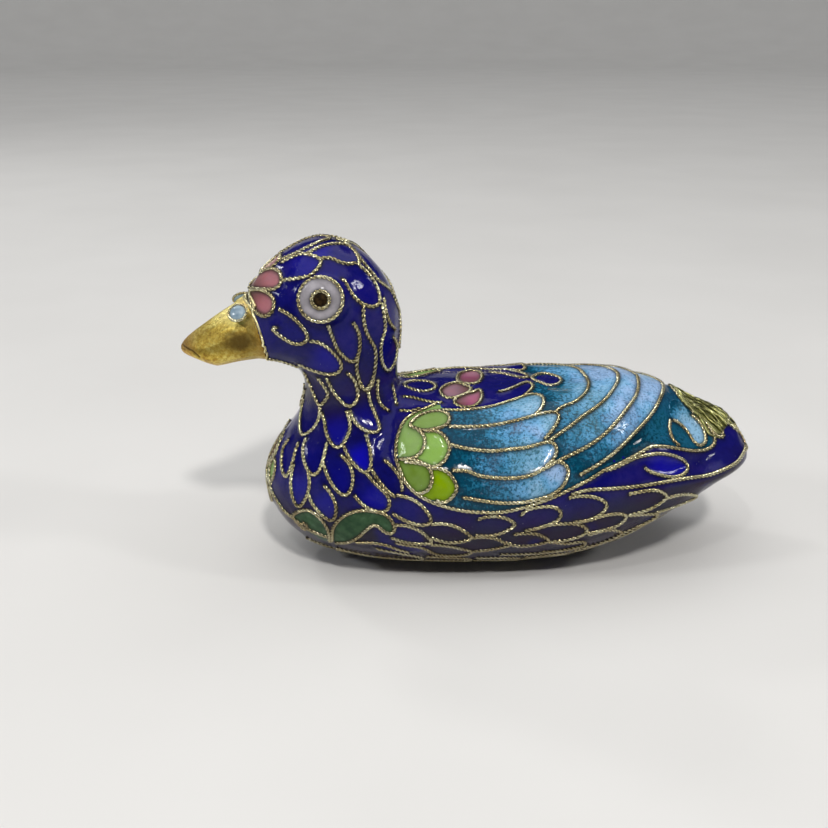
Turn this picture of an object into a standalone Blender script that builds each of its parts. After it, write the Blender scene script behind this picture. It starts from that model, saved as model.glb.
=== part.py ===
"""Cloisonne duck figurine, 75 mm long, as two solids: the enamelled copper duck and its gilt beak.

The duck faces -X, its back is +Z, and it is the same on both sides of the XZ plane.
The origin is at the middle of its length and width, on the surface that it stands on.
Metres throughout; the figure's own drawing is in millimetres, for a duck DRAWN_LENGTH long.
"""

import math

import bmesh
import bpy
import numpy as np
from mathutils import Vector

# Driving sizes, in metres.
DUCK_LENGTH = 0.0748
BEAK_LENGTH = 0.0098
BEAK_INSET = 0.0004
BEAK_SEAM = 0.0003
EYE_RADIUS = 0.0031
NOSTRIL_RADIUS = 0.0012
WING_RISE = 0.0007
RIM_RISE = 0.0004
HOLLOW_DEPTH = 0.0009
TAIL_FAN_RISE = 0.0005

# Fineness of the lofts.
BODY_STATIONS = 86
BODY_SIDES = 48
BEAK_STATIONS = 13
BEAK_SIDES = 20

# The figure's drawing is this long from the tail to the beak's tip, in millimetres.
DRAWN_LENGTH = 74.8
DRAWN_MIDDLE_X = 0.99
SCALE = DUCK_LENGTH / DRAWN_LENGTH

# Ribs of the duck, from the tail forwards, round the nape, up the neck and to the face.
# Each is: back point (x, z), belly point (x, z), half width, height share of the widest point,
# and how full its lower and upper halves are (2 is an ellipse, more is boxier, less is hollower).
BODY_RIBS = (
    ((38.0, 14.3), (38.0, 13.1), 1.6, 0.50, 2.0, 2.0),
    ((37.6, 15.6), (37.6, 12.1), 4.3, 0.46, 2.0, 1.9),
    ((36.2, 17.1), (36.2, 11.2), 6.8, 0.46, 2.0, 1.6),
    ((33.6, 18.4), (33.2, 9.7), 9.3, 0.45, 2.0, 1.4),
    ((30.2, 20.0), (29.2, 7.5), 11.3, 0.44, 2.0, 1.4),
    ((27.2, 22.1), (25.0, 5.0), 12.8, 0.44, 2.0, 1.7),
    ((23.0, 23.4), (20.2, 2.5), 14.0, 0.45, 2.0, 2.0),
    ((16.5, 23.1), (13.6, 0.2), 14.8, 0.46, 2.0, 2.3),
    ((9.5, 23.3), (7.0, -0.6), 15.1, 0.47, 2.0, 2.4),
    ((3.0, 23.4), (0.0, -0.6), 14.9, 0.47, 2.0, 2.4),
    ((-2.5, 23.4), (-7.0, -0.3), 14.5, 0.47, 2.0, 2.35),
    ((-6.0, 23.3), (-14.0, 0.4), 13.6, 0.47, 2.0, 2.3),
    ((-7.8, 23.4), (-20.0, 1.9), 12.4, 0.47, 2.0, 2.2),
    ((-8.5, 23.5), (-24.2, 4.6), 11.2, 0.48, 2.0, 2.1),
    ((-8.7, 23.9), (-26.3, 8.4), 10.0, 0.50, 2.0, 2.1),
    ((-8.8, 24.6), (-26.4, 12.4), 8.7, 0.50, 2.0, 2.1),
    ((-8.8, 25.6), (-24.4, 16.4), 7.5, 0.50, 2.0, 2.1),
    ((-8.7, 27.2), (-22.2, 19.6), 6.6, 0.50, 2.0, 2.1),
    ((-8.6, 29.6), (-21.1, 22.6), 6.5, 0.50, 2.0, 2.1),
    ((-8.6, 32.6), (-21.3, 25.0), 7.0, 0.50, 2.0, 2.1),
    ((-9.4, 36.1), (-22.2, 26.5), 7.7, 0.50, 2.1, 2.2),
    ((-11.6, 39.6), (-23.2, 27.1), 8.1, 0.50, 2.2, 2.3),
    ((-14.9, 42.0), (-24.1, 27.3), 8.1, 0.50, 2.2, 2.3),
    ((-18.7, 42.8), (-24.7, 27.4), 7.7, 0.49, 2.2, 2.2),
    ((-22.4, 41.4), (-25.1, 27.4), 7.1, 0.47, 2.1, 2.1),
    ((-25.2, 39.3), (-25.3, 27.4), 6.4, 0.46, 2.1, 1.95),
    ((-26.9, 37.5), (-25.4, 27.4), 5.8, 0.45, 2.1, 1.9),
    ((-27.8, 36.1), (-25.4, 27.4), 5.3, 0.45, 2.1, 1.8),
)

# Ribs of the beak, from its seat on the face to its tip, as shares: how far along the beak, then
# its top, its underside and its half width as shares of the seat's own half height and half width.
BEAK_RIBS = (
    (0.00, 1.00, 1.00, 1.00),
    (0.15, 0.88, 0.92, 0.96),
    (0.30, 0.78, 0.87, 0.91),
    (0.46, 0.66, 0.84, 0.85),
    (0.60, 0.54, 0.82, 0.78),
    (0.74, 0.42, 0.60, 0.67),
    (0.87, 0.29, 0.36, 0.49),
    (0.96, 0.16, 0.20, 0.29),
    (1.00, 0.06, 0.09, 0.12),
)
BEAK_FULLNESS = (2.2, 1.7)
BEAK_WIDEST = 0.44

# The wing as the side shows it: the height of its lower edge and how far its upper edge keeps from
# the middle of the back, each over x.
WING_LOWER_EDGE = (
    (-10.2, 30.0), (-10.2, 18.0), (-9.0, 15.8), (-7.2, 13.6), (-4.8, 12.5), (-1.2, 11.8), (2.5, 11.7),
    (6.2, 12.4), (9.4, 13.6), (13.6, 15.6), (17.3, 17.9), (20.6, 20.7), (24.0, 24.0), (27.0, 28.0),
)
WING_UPPER_EDGE = ((-10.2, 6.4), (-2.2, 7.0), (2.2, 7.0), (6.1, 6.1), (10.2, 4.0), (13.6, 1.9),
                   (18.0, -2.0), (27.0, -2.0))
# The rim runs along each flank from the wing's foot and round the tail.
RIM_LINE = ((-2.0, 10.4), (2.5, 11.6), (9.9, 13.4), (17.5, 13.9), (28.6, 13.4), (35.5, 13.2), (39.0, 13.2))
RIM_START_X = 1.0
# A ridge parts the two hollows above the rim: one under the wing tip, one along the flank.
RIDGE_LINE = ((9.8, 14.2), (15.6, 16.6), (19.5, 18.0), (24.2, 17.4), (29.2, 16.4), (33.2, 16.4))
HOLLOW_START_X = 12.0
HOLLOW_END_X = 34.0
TAIL_FAN_START_X = 27.0
TAIL_FAN_END_X = 37.0
TAIL_FAN_HALF_WIDTH = 4.0
EDGE_SOFTNESS = 1.7

EYE_CENTRE = (-18.6, 37.0)
EYE_STEP = 0.0007
NOSTRIL_CENTRE = (-28.9, 34.1)
NOSTRIL_STEP = 0.0005


def clear_scene():
    for thing in list(bpy.data.objects):
        bpy.data.objects.remove(thing, do_unlink=True)


def new_collection(name):
    made = bpy.data.collections.new(name)
    bpy.context.scene.collection.children.link(made)
    return made


def material(name, colour, roughness, metallic):
    made = bpy.data.materials.new(name)
    made.use_nodes = True
    shader = made.node_tree.nodes["Principled BSDF"]
    shader.inputs["Base Color"].default_value = (*colour, 1.0)
    shader.inputs["Roughness"].default_value = roughness
    shader.inputs["Metallic"].default_value = metallic
    made.diffuse_color = (*colour, 1.0)
    return made


def eased(value, start, end):
    """0 before start, 1 after end, with a smooth rise between."""
    share = np.clip((value - start) / (end - start), 0.0, 1.0)
    return share * share * (3.0 - 2.0 * share)


def along(line, x):
    """Height of a drawn line at x."""
    xs, heights = zip(*line)
    return np.interp(x, xs, heights)


def inside(line, x, z):
    """Distance from a drawn line in side view, counted positive above it or to its left hand."""
    ends = np.asarray(line, float)
    nearest = np.full(np.shape(x), np.inf)
    signed = np.zeros(np.shape(x))
    for (x0, z0), (x1, z1) in zip(ends, ends[1:]):
        run, rise = x1 - x0, z1 - z0
        share = np.clip(((x - x0) * run + (z - z0) * rise) / (run * run + rise * rise), 0.0, 1.0)
        across, up = x - x0 - share * run, z - z0 - share * rise
        away = np.hypot(across, up)
        side = np.sign(run * up - rise * across)
        signed = np.where(away < nearest - 1e-9, side * away, signed)
        nearest = np.minimum(nearest, away)
    return signed


def smooth_rows(rows, places):
    """Rows between the given ones, by a Catmull-Rom spline; places count rows from 0."""
    known = np.asarray(rows, float)
    known = np.vstack([2 * known[0] - known[1], known, 2 * known[-1] - known[-2]])
    places = np.clip(places, 0.0, len(rows) - 1 - 1e-9)
    first = places.astype(int)
    t = (places - first)[:, None]
    before, start, end, after = (known[first + k] for k in range(4))
    line = 2 * start + (end - before) * t
    bend = (2 * before - 5 * start + 4 * end - after) * t**2
    twist = (3 * start - before - 3 * end + after) * t**3
    return 0.5 * (line + bend + twist)


def even_places(rows, count):
    """Places along the ribs whose mean travel, over back and belly, is even."""
    fine = np.linspace(0.0, len(rows) - 1, 20 * len(rows))
    ends = smooth_rows(rows, fine)[:, :4]
    steps = np.diff(ends, axis=0)
    travel = np.hypot(steps[:, 0], steps[:, 1]) + np.hypot(steps[:, 2], steps[:, 3])
    total = np.concatenate([[0.0], np.cumsum(travel)])
    return np.interp(np.linspace(0.0, total[-1], count), total, fine)


def section(back, belly, half_width, widest, fullness, sides):
    """One closed ring of points between a belly point and a back point, in drawing millimetres."""
    lower, upper = fullness
    angle = np.linspace(-math.pi / 2, 1.5 * math.pi, sides, endpoint=False)
    rise, out = np.sin(angle), np.cos(angle)
    power = 2.0 / np.where(rise < 0, lower, upper)
    width = -np.sign(out) * np.abs(out) ** power * half_width
    reach = np.where(rise < 0, widest, 1.0 - widest)
    height = widest + np.sign(rise) * reach * np.abs(rise) ** power
    x = belly[0] + (back[0] - belly[0]) * height
    z = belly[1] + (back[1] - belly[1]) * height
    return np.stack([x, width, z], axis=1)


def body_rings():
    rows = [(*back, *belly, *rest) for back, belly, *rest in BODY_RIBS]
    rows = smooth_rows(rows, even_places(rows, BODY_STATIONS))
    return np.array([
        section(row[0:2], row[2:4], row[4], row[5], row[6:8], BODY_SIDES) for row in rows
    ])


def outward(rings):
    """Unit normals of a grid of rings, facing out."""
    lengthways = np.gradient(rings, axis=0)
    round_ring = np.roll(rings, -1, axis=1) - np.roll(rings, 1, axis=1)
    normal = np.cross(round_ring, lengthways)
    return normal / np.maximum(np.linalg.norm(normal, axis=2, keepdims=True), 1e-9)


def wing_relief(x, y, z):
    """1 on the wing, 0 off it, with a soft edge."""
    over_lower = eased(inside(WING_LOWER_EDGE, x, z), 0.0, EDGE_SOFTNESS)
    off_middle = eased(np.abs(y) - along(WING_UPPER_EDGE, x), 0.0, EDGE_SOFTNESS)
    return over_lower * off_middle


def rim_relief(x, z):
    """1 on the crest of the rim, falling to 0 on both sides of it."""
    off_crest = np.abs(z - along(RIM_LINE, x))
    return (1.0 - eased(off_crest, 0.0, EDGE_SOFTNESS)) * eased(x, RIM_START_X, RIM_START_X + 6.0)


def hollow_relief(x, y, z):
    """1 in the bottom of the hollows between the rim, the ridge and the wing tip."""
    rim, ridge = along(RIM_LINE, x), along(RIDGE_LINE, x)
    flank = np.clip((z - rim) / (ridge - rim + 0.2), 0.0, 1.0)
    under_tip = np.clip((z - ridge) / 5.0, 0.0, 1.0)
    depth = np.sin(math.pi * flank) ** 2 * 0.6 + np.sin(math.pi * under_tip) ** 2
    behind_wing = eased(-inside(WING_LOWER_EDGE, x, z), 0.0, EDGE_SOFTNESS)
    length = eased(x, HOLLOW_START_X, HOLLOW_START_X + 8.0) - eased(x, HOLLOW_END_X - 6.0, HOLLOW_END_X)
    off_fan = eased(np.abs(y), TAIL_FAN_HALF_WIDTH, TAIL_FAN_HALF_WIDTH + 2.0 * EDGE_SOFTNESS)
    return depth * length * off_fan * behind_wing


def tail_fan_relief(x, y, z):
    """1 on the raised fan of fine feathers on top of the tail."""
    on_top = eased(z, along(RIM_LINE, x), along(RIM_LINE, x) + EDGE_SOFTNESS)
    across = 1.0 - eased(np.abs(y), TAIL_FAN_HALF_WIDTH - EDGE_SOFTNESS, TAIL_FAN_HALF_WIDTH + EDGE_SOFTNESS)
    length = eased(x, TAIL_FAN_START_X, TAIL_FAN_START_X + 2.0 * EDGE_SOFTNESS)
    return on_top * across * length * (1.0 - eased(x, TAIL_FAN_END_X - EDGE_SOFTNESS, TAIL_FAN_END_X))


def carved(rings):
    """The smooth duck's rings with wings, rim, hollows and tail fan raised or sunk, in metres."""
    x, y, z = np.moveaxis(rings, 2, 0)
    lift = (
        WING_RISE * wing_relief(x, y, z)
        + RIM_RISE * rim_relief(x, z)
        - HOLLOW_DEPTH * hollow_relief(x, y, z)
        + TAIL_FAN_RISE * tail_fan_relief(x, y, z)
    )
    on_body = 1.0 - eased(-x, -WING_LOWER_EDGE[0][0], 1.0 - WING_LOWER_EDGE[0][0])
    shaped = (rings - (DRAWN_MIDDLE_X, 0.0, 0.0)) * SCALE + outward(rings) * (lift * on_body)[..., None]
    shaped[..., 2] = np.maximum(shaped[..., 2], 0.0)
    return shaped


def seat():
    """The flat face that the beak sits on: its middle, its forward and upward directions, and its
    half height and half width, in metres."""
    back, belly, half_width = BODY_RIBS[-1][:3]
    top = Vector((back[0] - DRAWN_MIDDLE_X, 0.0, back[1])) * SCALE
    foot = Vector((belly[0] - DRAWN_MIDDLE_X, 0.0, belly[1])) * SCALE
    up = (top - foot).normalized()
    forward = Vector((-up.z, 0.0, up.x))
    return (top + foot) / 2, forward, up, (top - foot).length / 2, half_width * SCALE


def beak_rings():
    middle, forward, up, half_height, half_width = seat()
    half_height -= BEAK_INSET
    half_width -= BEAK_INSET
    places = np.linspace(0.0, len(BEAK_RIBS) - 1, BEAK_STATIONS)
    rings = []
    for reach, top, foot, width in smooth_rows(BEAK_RIBS, places):
        ring = section(
            (top * half_height, 0.0), (-foot * half_height, 0.0),
            width * half_width, BEAK_WIDEST, BEAK_FULLNESS, BEAK_SIDES,
        )
        base = middle + forward * (BEAK_SEAM + reach * BEAK_LENGTH)
        rings.append([base + up * height + Vector((0.0, side, 0.0)) for height, side, _ in ring])
    return np.array(rings)


def loft(name, rings, finish, collection):
    """A closed mesh through rings of points, with a flat face at each end."""
    stations, sides = rings.shape[:2]
    mesh = bmesh.new()
    corners = [[mesh.verts.new(point) for point in ring] for ring in rings]
    for near, far in zip(corners, corners[1:]):
        for side in range(sides):
            beside = (side + 1) % sides
            mesh.faces.new((near[side], near[beside], far[beside], far[side]))
    mesh.faces.new(corners[0])
    mesh.faces.new(corners[-1])
    bmesh.ops.recalc_face_normals(mesh, faces=mesh.faces)
    data = bpy.data.meshes.new(name)
    mesh.to_mesh(data)
    mesh.free()
    data.shade_smooth()
    data.set_sharp_from_angle(angle=math.radians(50))
    made = bpy.data.objects.new(name, data)
    data.materials.append(finish)
    collection.objects.link(made)
    return made


def button(name, centre, direction, radius, height, collection):
    """A low round boss with a domed face, half sunk where it stands, for a join."""
    mesh = bmesh.new()
    bmesh.ops.create_uvsphere(mesh, u_segments=20, v_segments=10, radius=radius)
    bmesh.ops.scale(mesh, vec=(1.0, 1.0, height / radius), verts=mesh.verts)
    data = bpy.data.meshes.new(name)
    mesh.to_mesh(data)
    mesh.free()
    made = bpy.data.objects.new(name, data)
    made.location = centre
    made.rotation_mode = "QUATERNION"
    made.rotation_quaternion = Vector(direction).to_track_quat("Z", "Y")
    made.hide_render = True
    made.display_type = "WIRE"
    collection.objects.link(made)
    return made


def join(target, helper):
    union = target.modifiers.new(helper.name, "BOOLEAN")
    union.operation = "UNION"
    union.object = helper


def nearest_on(rings, centre, facing):
    """The point of a smooth surface's grid, on the side that faces, nearest to a side-view centre."""
    normals = outward(rings)
    points, facings = rings.reshape(-1, 3), normals.reshape(-1, 3)
    away = np.hypot(points[:, 0] - centre[0], points[:, 2] - centre[1])
    away[points[:, 1] * facing < 0] = np.inf
    near = away.argmin()
    return Vector(points[near]), Vector(facings[near])


def add_buttons(target, name, rings, centre, radius, step, helpers):
    """A low round boss on each side of a lofted piece, at a place drawn in side view."""
    centre = ((centre[0] - DRAWN_MIDDLE_X) * SCALE, centre[1] * SCALE)
    for side, facing in (("left", -1), ("right", 1)):
        point, normal = nearest_on(rings, centre, facing)
        join(target, button(f"{name}_{side}", point, normal, radius, step, helpers))


def main():
    clear_scene()
    figure = new_collection("cloisonne_duck")
    helpers = new_collection("helpers")
    enamel = material("cobalt_enamel", (0.02, 0.02, 0.22), 0.12, 0.0)
    gilt = material("gilt_metal", (0.83, 0.60, 0.22), 0.32, 1.0)
    duck_rings = carved(body_rings())
    duck = loft("duck_body", duck_rings, enamel, figure)
    add_buttons(duck, "eye", duck_rings, EYE_CENTRE, EYE_RADIUS, EYE_STEP, helpers)
    bill_rings = beak_rings()
    beak = loft("beak", bill_rings, gilt, figure)
    add_buttons(beak, "nostril", bill_rings, NOSTRIL_CENTRE, NOSTRIL_RADIUS, NOSTRIL_STEP, helpers)


main()
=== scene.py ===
"""Looks of the cloisonne duck: enamel cells between twisted gilt wires, and a gilt sheet beak.

The wires are drawn as lines in the photograph's frame of 828 by 828 pixels, laid on the duck along
the camera's sight lines, and mirrored to the far side. Lengths are metres unless a name says mm.
"""

import math

import bpy
import numpy as np
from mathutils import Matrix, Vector
from mathutils.bvhtree import BVHTree
from mathutils.kdtree import KDTree

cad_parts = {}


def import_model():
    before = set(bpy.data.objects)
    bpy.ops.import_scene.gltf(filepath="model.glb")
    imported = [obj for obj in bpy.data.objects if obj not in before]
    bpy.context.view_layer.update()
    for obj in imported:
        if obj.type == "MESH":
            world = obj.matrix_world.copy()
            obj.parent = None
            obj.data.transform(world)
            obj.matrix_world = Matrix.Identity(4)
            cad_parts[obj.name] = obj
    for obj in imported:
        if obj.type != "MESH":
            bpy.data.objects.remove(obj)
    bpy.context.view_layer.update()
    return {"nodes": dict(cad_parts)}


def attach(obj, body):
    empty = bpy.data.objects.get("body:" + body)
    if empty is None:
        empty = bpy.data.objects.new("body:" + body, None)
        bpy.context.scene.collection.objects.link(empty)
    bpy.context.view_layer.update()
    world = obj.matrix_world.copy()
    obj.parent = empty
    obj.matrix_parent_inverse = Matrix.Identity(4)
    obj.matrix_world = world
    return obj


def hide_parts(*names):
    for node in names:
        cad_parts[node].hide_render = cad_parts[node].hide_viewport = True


MM = 0.001

# The camera, as the photograph's frame shows the duck.
FRAME_PIXELS = 828
FOCAL_PIXELS = 1000.0
CAMERA_DISTANCE = 0.135
CAMERA_ELEVATION = math.radians(23)
CAMERA_TURN = math.radians(8)
AIM_POINT = (-0.00099, 0.0, 0.015)
AIM_PIXEL = (464.0, 440.0)

# The floor, a wide plate with a raised edge, just under the duck.
FLOOR_RADIUS = 1.5
FLOOR_GAP = 0.00005

# Twisted wire: two round strands, laid round each other.
STRAND_RADIUS = 0.000148
STRAND_OFFSET = 0.000128
LAY = 0.00112
WIRE_STEP = 0.000143
WIRE_LIFT = 0.00002
SHORTEST_WIRE = 0.0008
COMB_RADIUS = 0.00013
COMB_LIFT = 0.00014

# Enamel: a fine skin over the duck that climbs each wire's sides.
ENAMEL_VOXEL = 0.0003
ENAMEL_RISE = 0.00018
ENAMEL_SINK = 0.00012
ENAMEL_CLIMB = 0.00042
SEAM_REACH = 0.00042
BEAK_VOXEL = 0.00013
ENAMEL_SHINE = 0.16


def ring(centre, radius, points=20):
    """A closed round line."""
    turn = [2 * math.pi * k / points for k in range(points + 1)]
    return [(centre[0] + radius * math.cos(a), centre[1] + radius * math.sin(a)) for a in turn]


# Lines on the head, in pixels of the frame.
HEAD_WIRES = {
    "eye_rim": ring((320.4, 299.4), 22.2),
    "pupil_rim": ring((320.2, 299.8), 9.0, 14),
    "brow_petal_upper": [
        (248, 286), (256, 276), (265, 270), (273, 268.5), (280, 273), (281, 283), (274, 289), (263, 289.5),
        (254, 288.5), (248, 286)],
    "brow_petal_lower": [
        (250, 292), (257, 289.5), (266, 291.5), (273, 297), (274.5, 304), (272, 312), (265.5, 316),
        (258, 313), (253, 305), (250, 292)],
    "brow_petal_crown": [
        (249, 283), (256, 272.5), (266, 262.5), (278, 253.5), (281, 256), (278, 262), (270, 269)],
    "forehead_loop": [
        (282, 280), (294, 279), (304, 277.5), (310, 276), (317, 269.5), (321, 263), (319, 258.5),
        (312, 255.5), (302, 254), (293, 257), (281.5, 262.5)],
    "crown_line": [(280, 260), (289, 256), (298, 252), (306, 248), (314, 244.5), (321, 241.5), (330, 239)],
    "crown_loop": [
        (308, 253), (314, 250), (320, 247), (329, 244.7), (339, 244), (347, 245.5), (354, 251), (358.5, 258),
        (359.7, 266)],
    "crown_under": [(321, 258.5), (331, 258.5), (339, 262), (347, 264), (356, 263)],
    "crown_nape": [
        (336, 240), (346, 243), (354, 250), (362, 261), (370, 271), (377, 279.5), (385, 285.5), (391, 291),
        (396, 303), (400, 316), (402, 332), (401, 348)],
    "behind_eye": [
        (359.7, 266), (366, 271.5), (371, 277.5), (376, 285.5), (379, 295), (379, 303), (372.5, 307),
        (363, 304.5), (355, 298), (348.5, 288.5), (345.5, 282), (342, 279)],
    "nape_feather": [
        (381, 303), (384, 316), (385, 329), (382, 340), (380.5, 351), (382, 363), (387, 371), (391.5, 368),
        (395.5, 358.5), (396.5, 346), (393, 336.5)],
    "nape_feather_upper": [(384, 298), (385, 309), (389, 322), (395, 330)],
    "neck_feather": [
        (363, 305), (363, 316), (365.5, 330), (371, 341), (375, 348), (375.7, 360), (373.5, 376), (368, 387),
        (363, 389), (359.5, 381), (356.5, 368), (357.5, 357)],
    "cheek_feather_rear": [
        (328, 325), (332.5, 336.5), (337.5, 349), (345.5, 358.5), (353, 362), (358, 355.5), (359.7, 344.5),
        (358, 332), (353, 323)],
    "cheek_feather_front": [
        (279, 309), (288, 314), (297.5, 322), (305, 331), (307.5, 338), (302.5, 343.5), (293, 343.5),
        (283, 338), (275, 331.5), (272.5, 328), (277.5, 327.5)],
    "cheek_feather_lower": [
        (310, 341), (320, 343), (329.5, 349), (337.5, 357), (341.5, 365), (339, 371.5), (331, 374),
        (320, 372.3), (310, 369), (298.5, 364)],
    "throat_line": [(269, 358.5), (278, 360), (288, 363), (299, 367)],
}
# Two rods over the joint of beak and face.
BROW_BARS = [[(244, 298), (253.5, 310.5)], [(249, 292), (255, 306.5)]]

# Lines on the neck and breast.
BREAST_WIRES = {
    "neck_front": [
        (304, 372), (309, 382), (313, 392), (319.5, 405), (326, 399), (328, 394), (325, 388), (318, 378)],
    "neck_front_lower": [
        (305, 389), (302.5, 406), (300.5, 419.5), (300.5, 430), (303, 435), (309.5, 432), (315, 426.5),
        (319, 418), (320, 407)],
    "neck_side": [
        (327, 378), (331, 387), (335, 394), (339, 399), (345, 405), (350, 406.5), (355, 403.5), (358, 396.5),
        (357, 388), (353.5, 379.5), (347, 373)],
    "neck_rear_small": [(359.5, 381), (362, 388), (367, 390.5), (372, 385), (373.5, 378)],
    "neck_rear": [(378, 379.5), (377.5, 390), (379, 400.5), (383, 407), (389, 411)],
    "neck_nape": [(392, 385), (394.5, 396), (396.5, 405)],
    "shoulder_upper": [
        (368, 391.5), (370.5, 403), (375, 413), (378.5, 422), (380, 428.5), (377, 432), (371, 432),
        (364, 429.5), (357.5, 424.5), (352.5, 417), (350, 410.5)],
    "breast_top": [
        (322, 412), (325, 422), (326, 431), (328.5, 438.5), (333.5, 446), (338.5, 447.5), (342.5, 445),
        (347.5, 436), (350, 427), (349, 419.5), (346.5, 411)],
    "breast_front": [
        (289, 439), (284, 447), (282, 457), (282.5, 469), (285.5, 476), (289, 472), (293, 461.5),
        (295.5, 451.5), (299, 442.5)],
    "breast_front_inner": [
        (306.5, 438), (303.5, 447), (304, 459), (308, 470), (313, 475), (318.5, 472), (322, 464),
        (324.5, 454), (327, 442.5)],
    "breast_low_front": [
        (294, 464), (291.5, 475), (291, 488), (294, 500.5), (299, 506.5), (304, 501), (308, 492),
        (309.5, 482), (308.5, 473)],
    "breast_low": [
        (308, 493), (312, 502.5), (319.5, 512), (327, 518.5), (332, 520), (335.5, 515), (336, 505),
        (332, 495), (328, 489), (324.5, 485.5)],
    "breast_middle": [
        (323, 461), (327, 474), (333.5, 486.5), (341, 494), (347.5, 494.5), (352, 486), (352.5, 474.5),
        (349, 464), (345, 459), (341, 455)],
    "shoulder_middle": [
        (343.5, 446), (347.5, 455), (353, 463), (360.5, 470), (366.5, 472), (370.5, 466.5), (370.5, 456),
        (369, 445), (366, 434.5)],
    "shoulder_low": [
        (366.5, 472.5), (373, 480.5), (381, 488.5), (387, 495), (389.5, 502.5), (387, 509.5), (379.5, 511.5),
        (369, 508.5), (360, 502), (354.5, 495.5)],
    "shoulder_line": [(371.5, 469), (376, 477), (383.5, 487), (389, 492.5), (395, 497)],
    "wing_foot_line": [(384.5, 460), (392, 466.5), (398.5, 474.5), (402, 482), (402.5, 491)],
    "breast_edge": [
        (304, 401), (294, 413), (288, 425), (282, 438), (277, 451), (271, 465), (270, 475), (272, 490),
        (279, 503), (285, 511), (295, 519), (310, 529.5), (328, 537)],
    "leaf_small": [
        (303, 522), (307, 524.5), (307, 528), (304, 529), (298, 523), (293, 516), (299, 511.5), (307, 510),
        (314.5, 513), (323.5, 521.5), (328.5, 531), (329.5, 541)],
    "leaf_large": [
        (332, 541), (333.5, 528), (341, 518), (351.5, 512), (363, 510), (375.5, 511.5), (386, 515),
        (392, 521.5), (394.5, 529), (391, 533.5), (384.5, 532), (378, 526.5), (373, 525.5), (365.5, 530.5),
        (358, 537), (347.5, 542), (336, 542.5)],
}

# Lines on the wing.
WING_WIRES = {
    "wing_rim": [
        (436, 404), (422, 410), (413, 414), (404, 421.5), (399, 433), (396.5, 444.5), (396.5, 458.5),
        (400.5, 471), (405.5, 482.5), (415.5, 493), (428.5, 500.5), (444, 506), (463, 510.5), (482, 512.5),
        (502.5, 512), (520.5, 508), (539.5, 502), (556, 496), (569, 490), (581, 484), (593, 477.5),
        (603, 470.5), (616, 465), (630, 458), (644, 451), (652, 447), (666, 447), (680, 449), (694, 451),
        (706, 450), (713.5, 445.5), (715, 439), (711.5, 432), (706, 424), (699, 417)],
    "green_top": [
        (410, 425), (418, 416.5), (428.5, 412), (440, 411), (448, 414), (449.5, 420), (445, 425.5),
        (436, 428.5), (424.5, 430.5), (417, 429), (410, 425)],
    "green_left": [(418, 429.5), (424, 436.5), (424, 446), (418.5, 454.5), (410.5, 458.5), (400, 459)],
    "green_middle": [
        (424.5, 431.5), (436, 431), (444, 435.5), (449.5, 444.5), (449, 452), (444, 461), (435, 466.5),
        (427, 465), (419.5, 461.5), (414, 459)],
    "green_low_left": [
        (405, 461), (418.5, 463), (427, 466), (431.5, 474), (431, 484), (426, 491), (418, 493.5)],
    "green_low_right": [
        (431, 469), (438.5, 468.5), (449, 473.5), (456, 484), (456.5, 490.5), (451.5, 498), (444, 502.5),
        (436, 500.5)],
    "row_first": [
        (442, 409.5), (449, 410), (462, 410), (477, 409), (495, 406), (510, 401), (522, 397), (530, 394.8),
        (537, 394.5), (542.5, 397), (543.5, 403.5), (540, 410.5), (535, 415)],
    "row_second": [
        (449, 426.5), (463, 427), (482, 426.5), (500, 424), (518, 420), (531, 416.5), (543, 413.5),
        (555, 412.5), (559, 416.5), (556.5, 424), (551, 432), (545, 439.5)],
    "row_third": [
        (449.5, 444.5), (461.5, 447.5), (479.5, 450), (495, 451), (510, 449.5), (525.5, 448), (538, 444.5),
        (548.5, 442), (555, 444.5), (557, 451), (553.5, 459), (545, 467)],
    "row_fourth": [
        (452.5, 470), (467, 471), (479.5, 476), (495, 478), (513, 478), (530.5, 475), (546, 467.5),
        (555, 462.5), (562, 463), (567.5, 468.5), (567, 477.5), (561, 488), (550, 495.5), (533, 500.5),
        (515, 502.5), (497, 502.5), (479.5, 500.5), (463, 497.5)],
    "primary_first": [
        (556, 412), (564, 406.5), (575, 402), (585, 393.5), (589, 384), (586.5, 377), (582, 374)],
    "primary_second": [
        (549, 441), (559, 433.5), (570, 426.5), (582, 417.5), (596, 407.5), (607, 397.5), (616, 385.5),
        (618.5, 378), (616.5, 371.5), (612, 368)],
    "primary_third": [
        (546, 468), (556, 462.5), (565, 458), (582, 449.5), (599, 438.5), (613, 426), (624, 413), (634, 399),
        (638, 388), (638, 378), (634, 369.5)],
    "primary_fourth": [
        (580, 475), (585, 472), (599, 463.5), (616, 451), (631, 437), (644, 423), (653.5, 410.5),
        (660.5, 397.5), (663.5, 388), (660.5, 381), (654, 374.5)],
}

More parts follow.
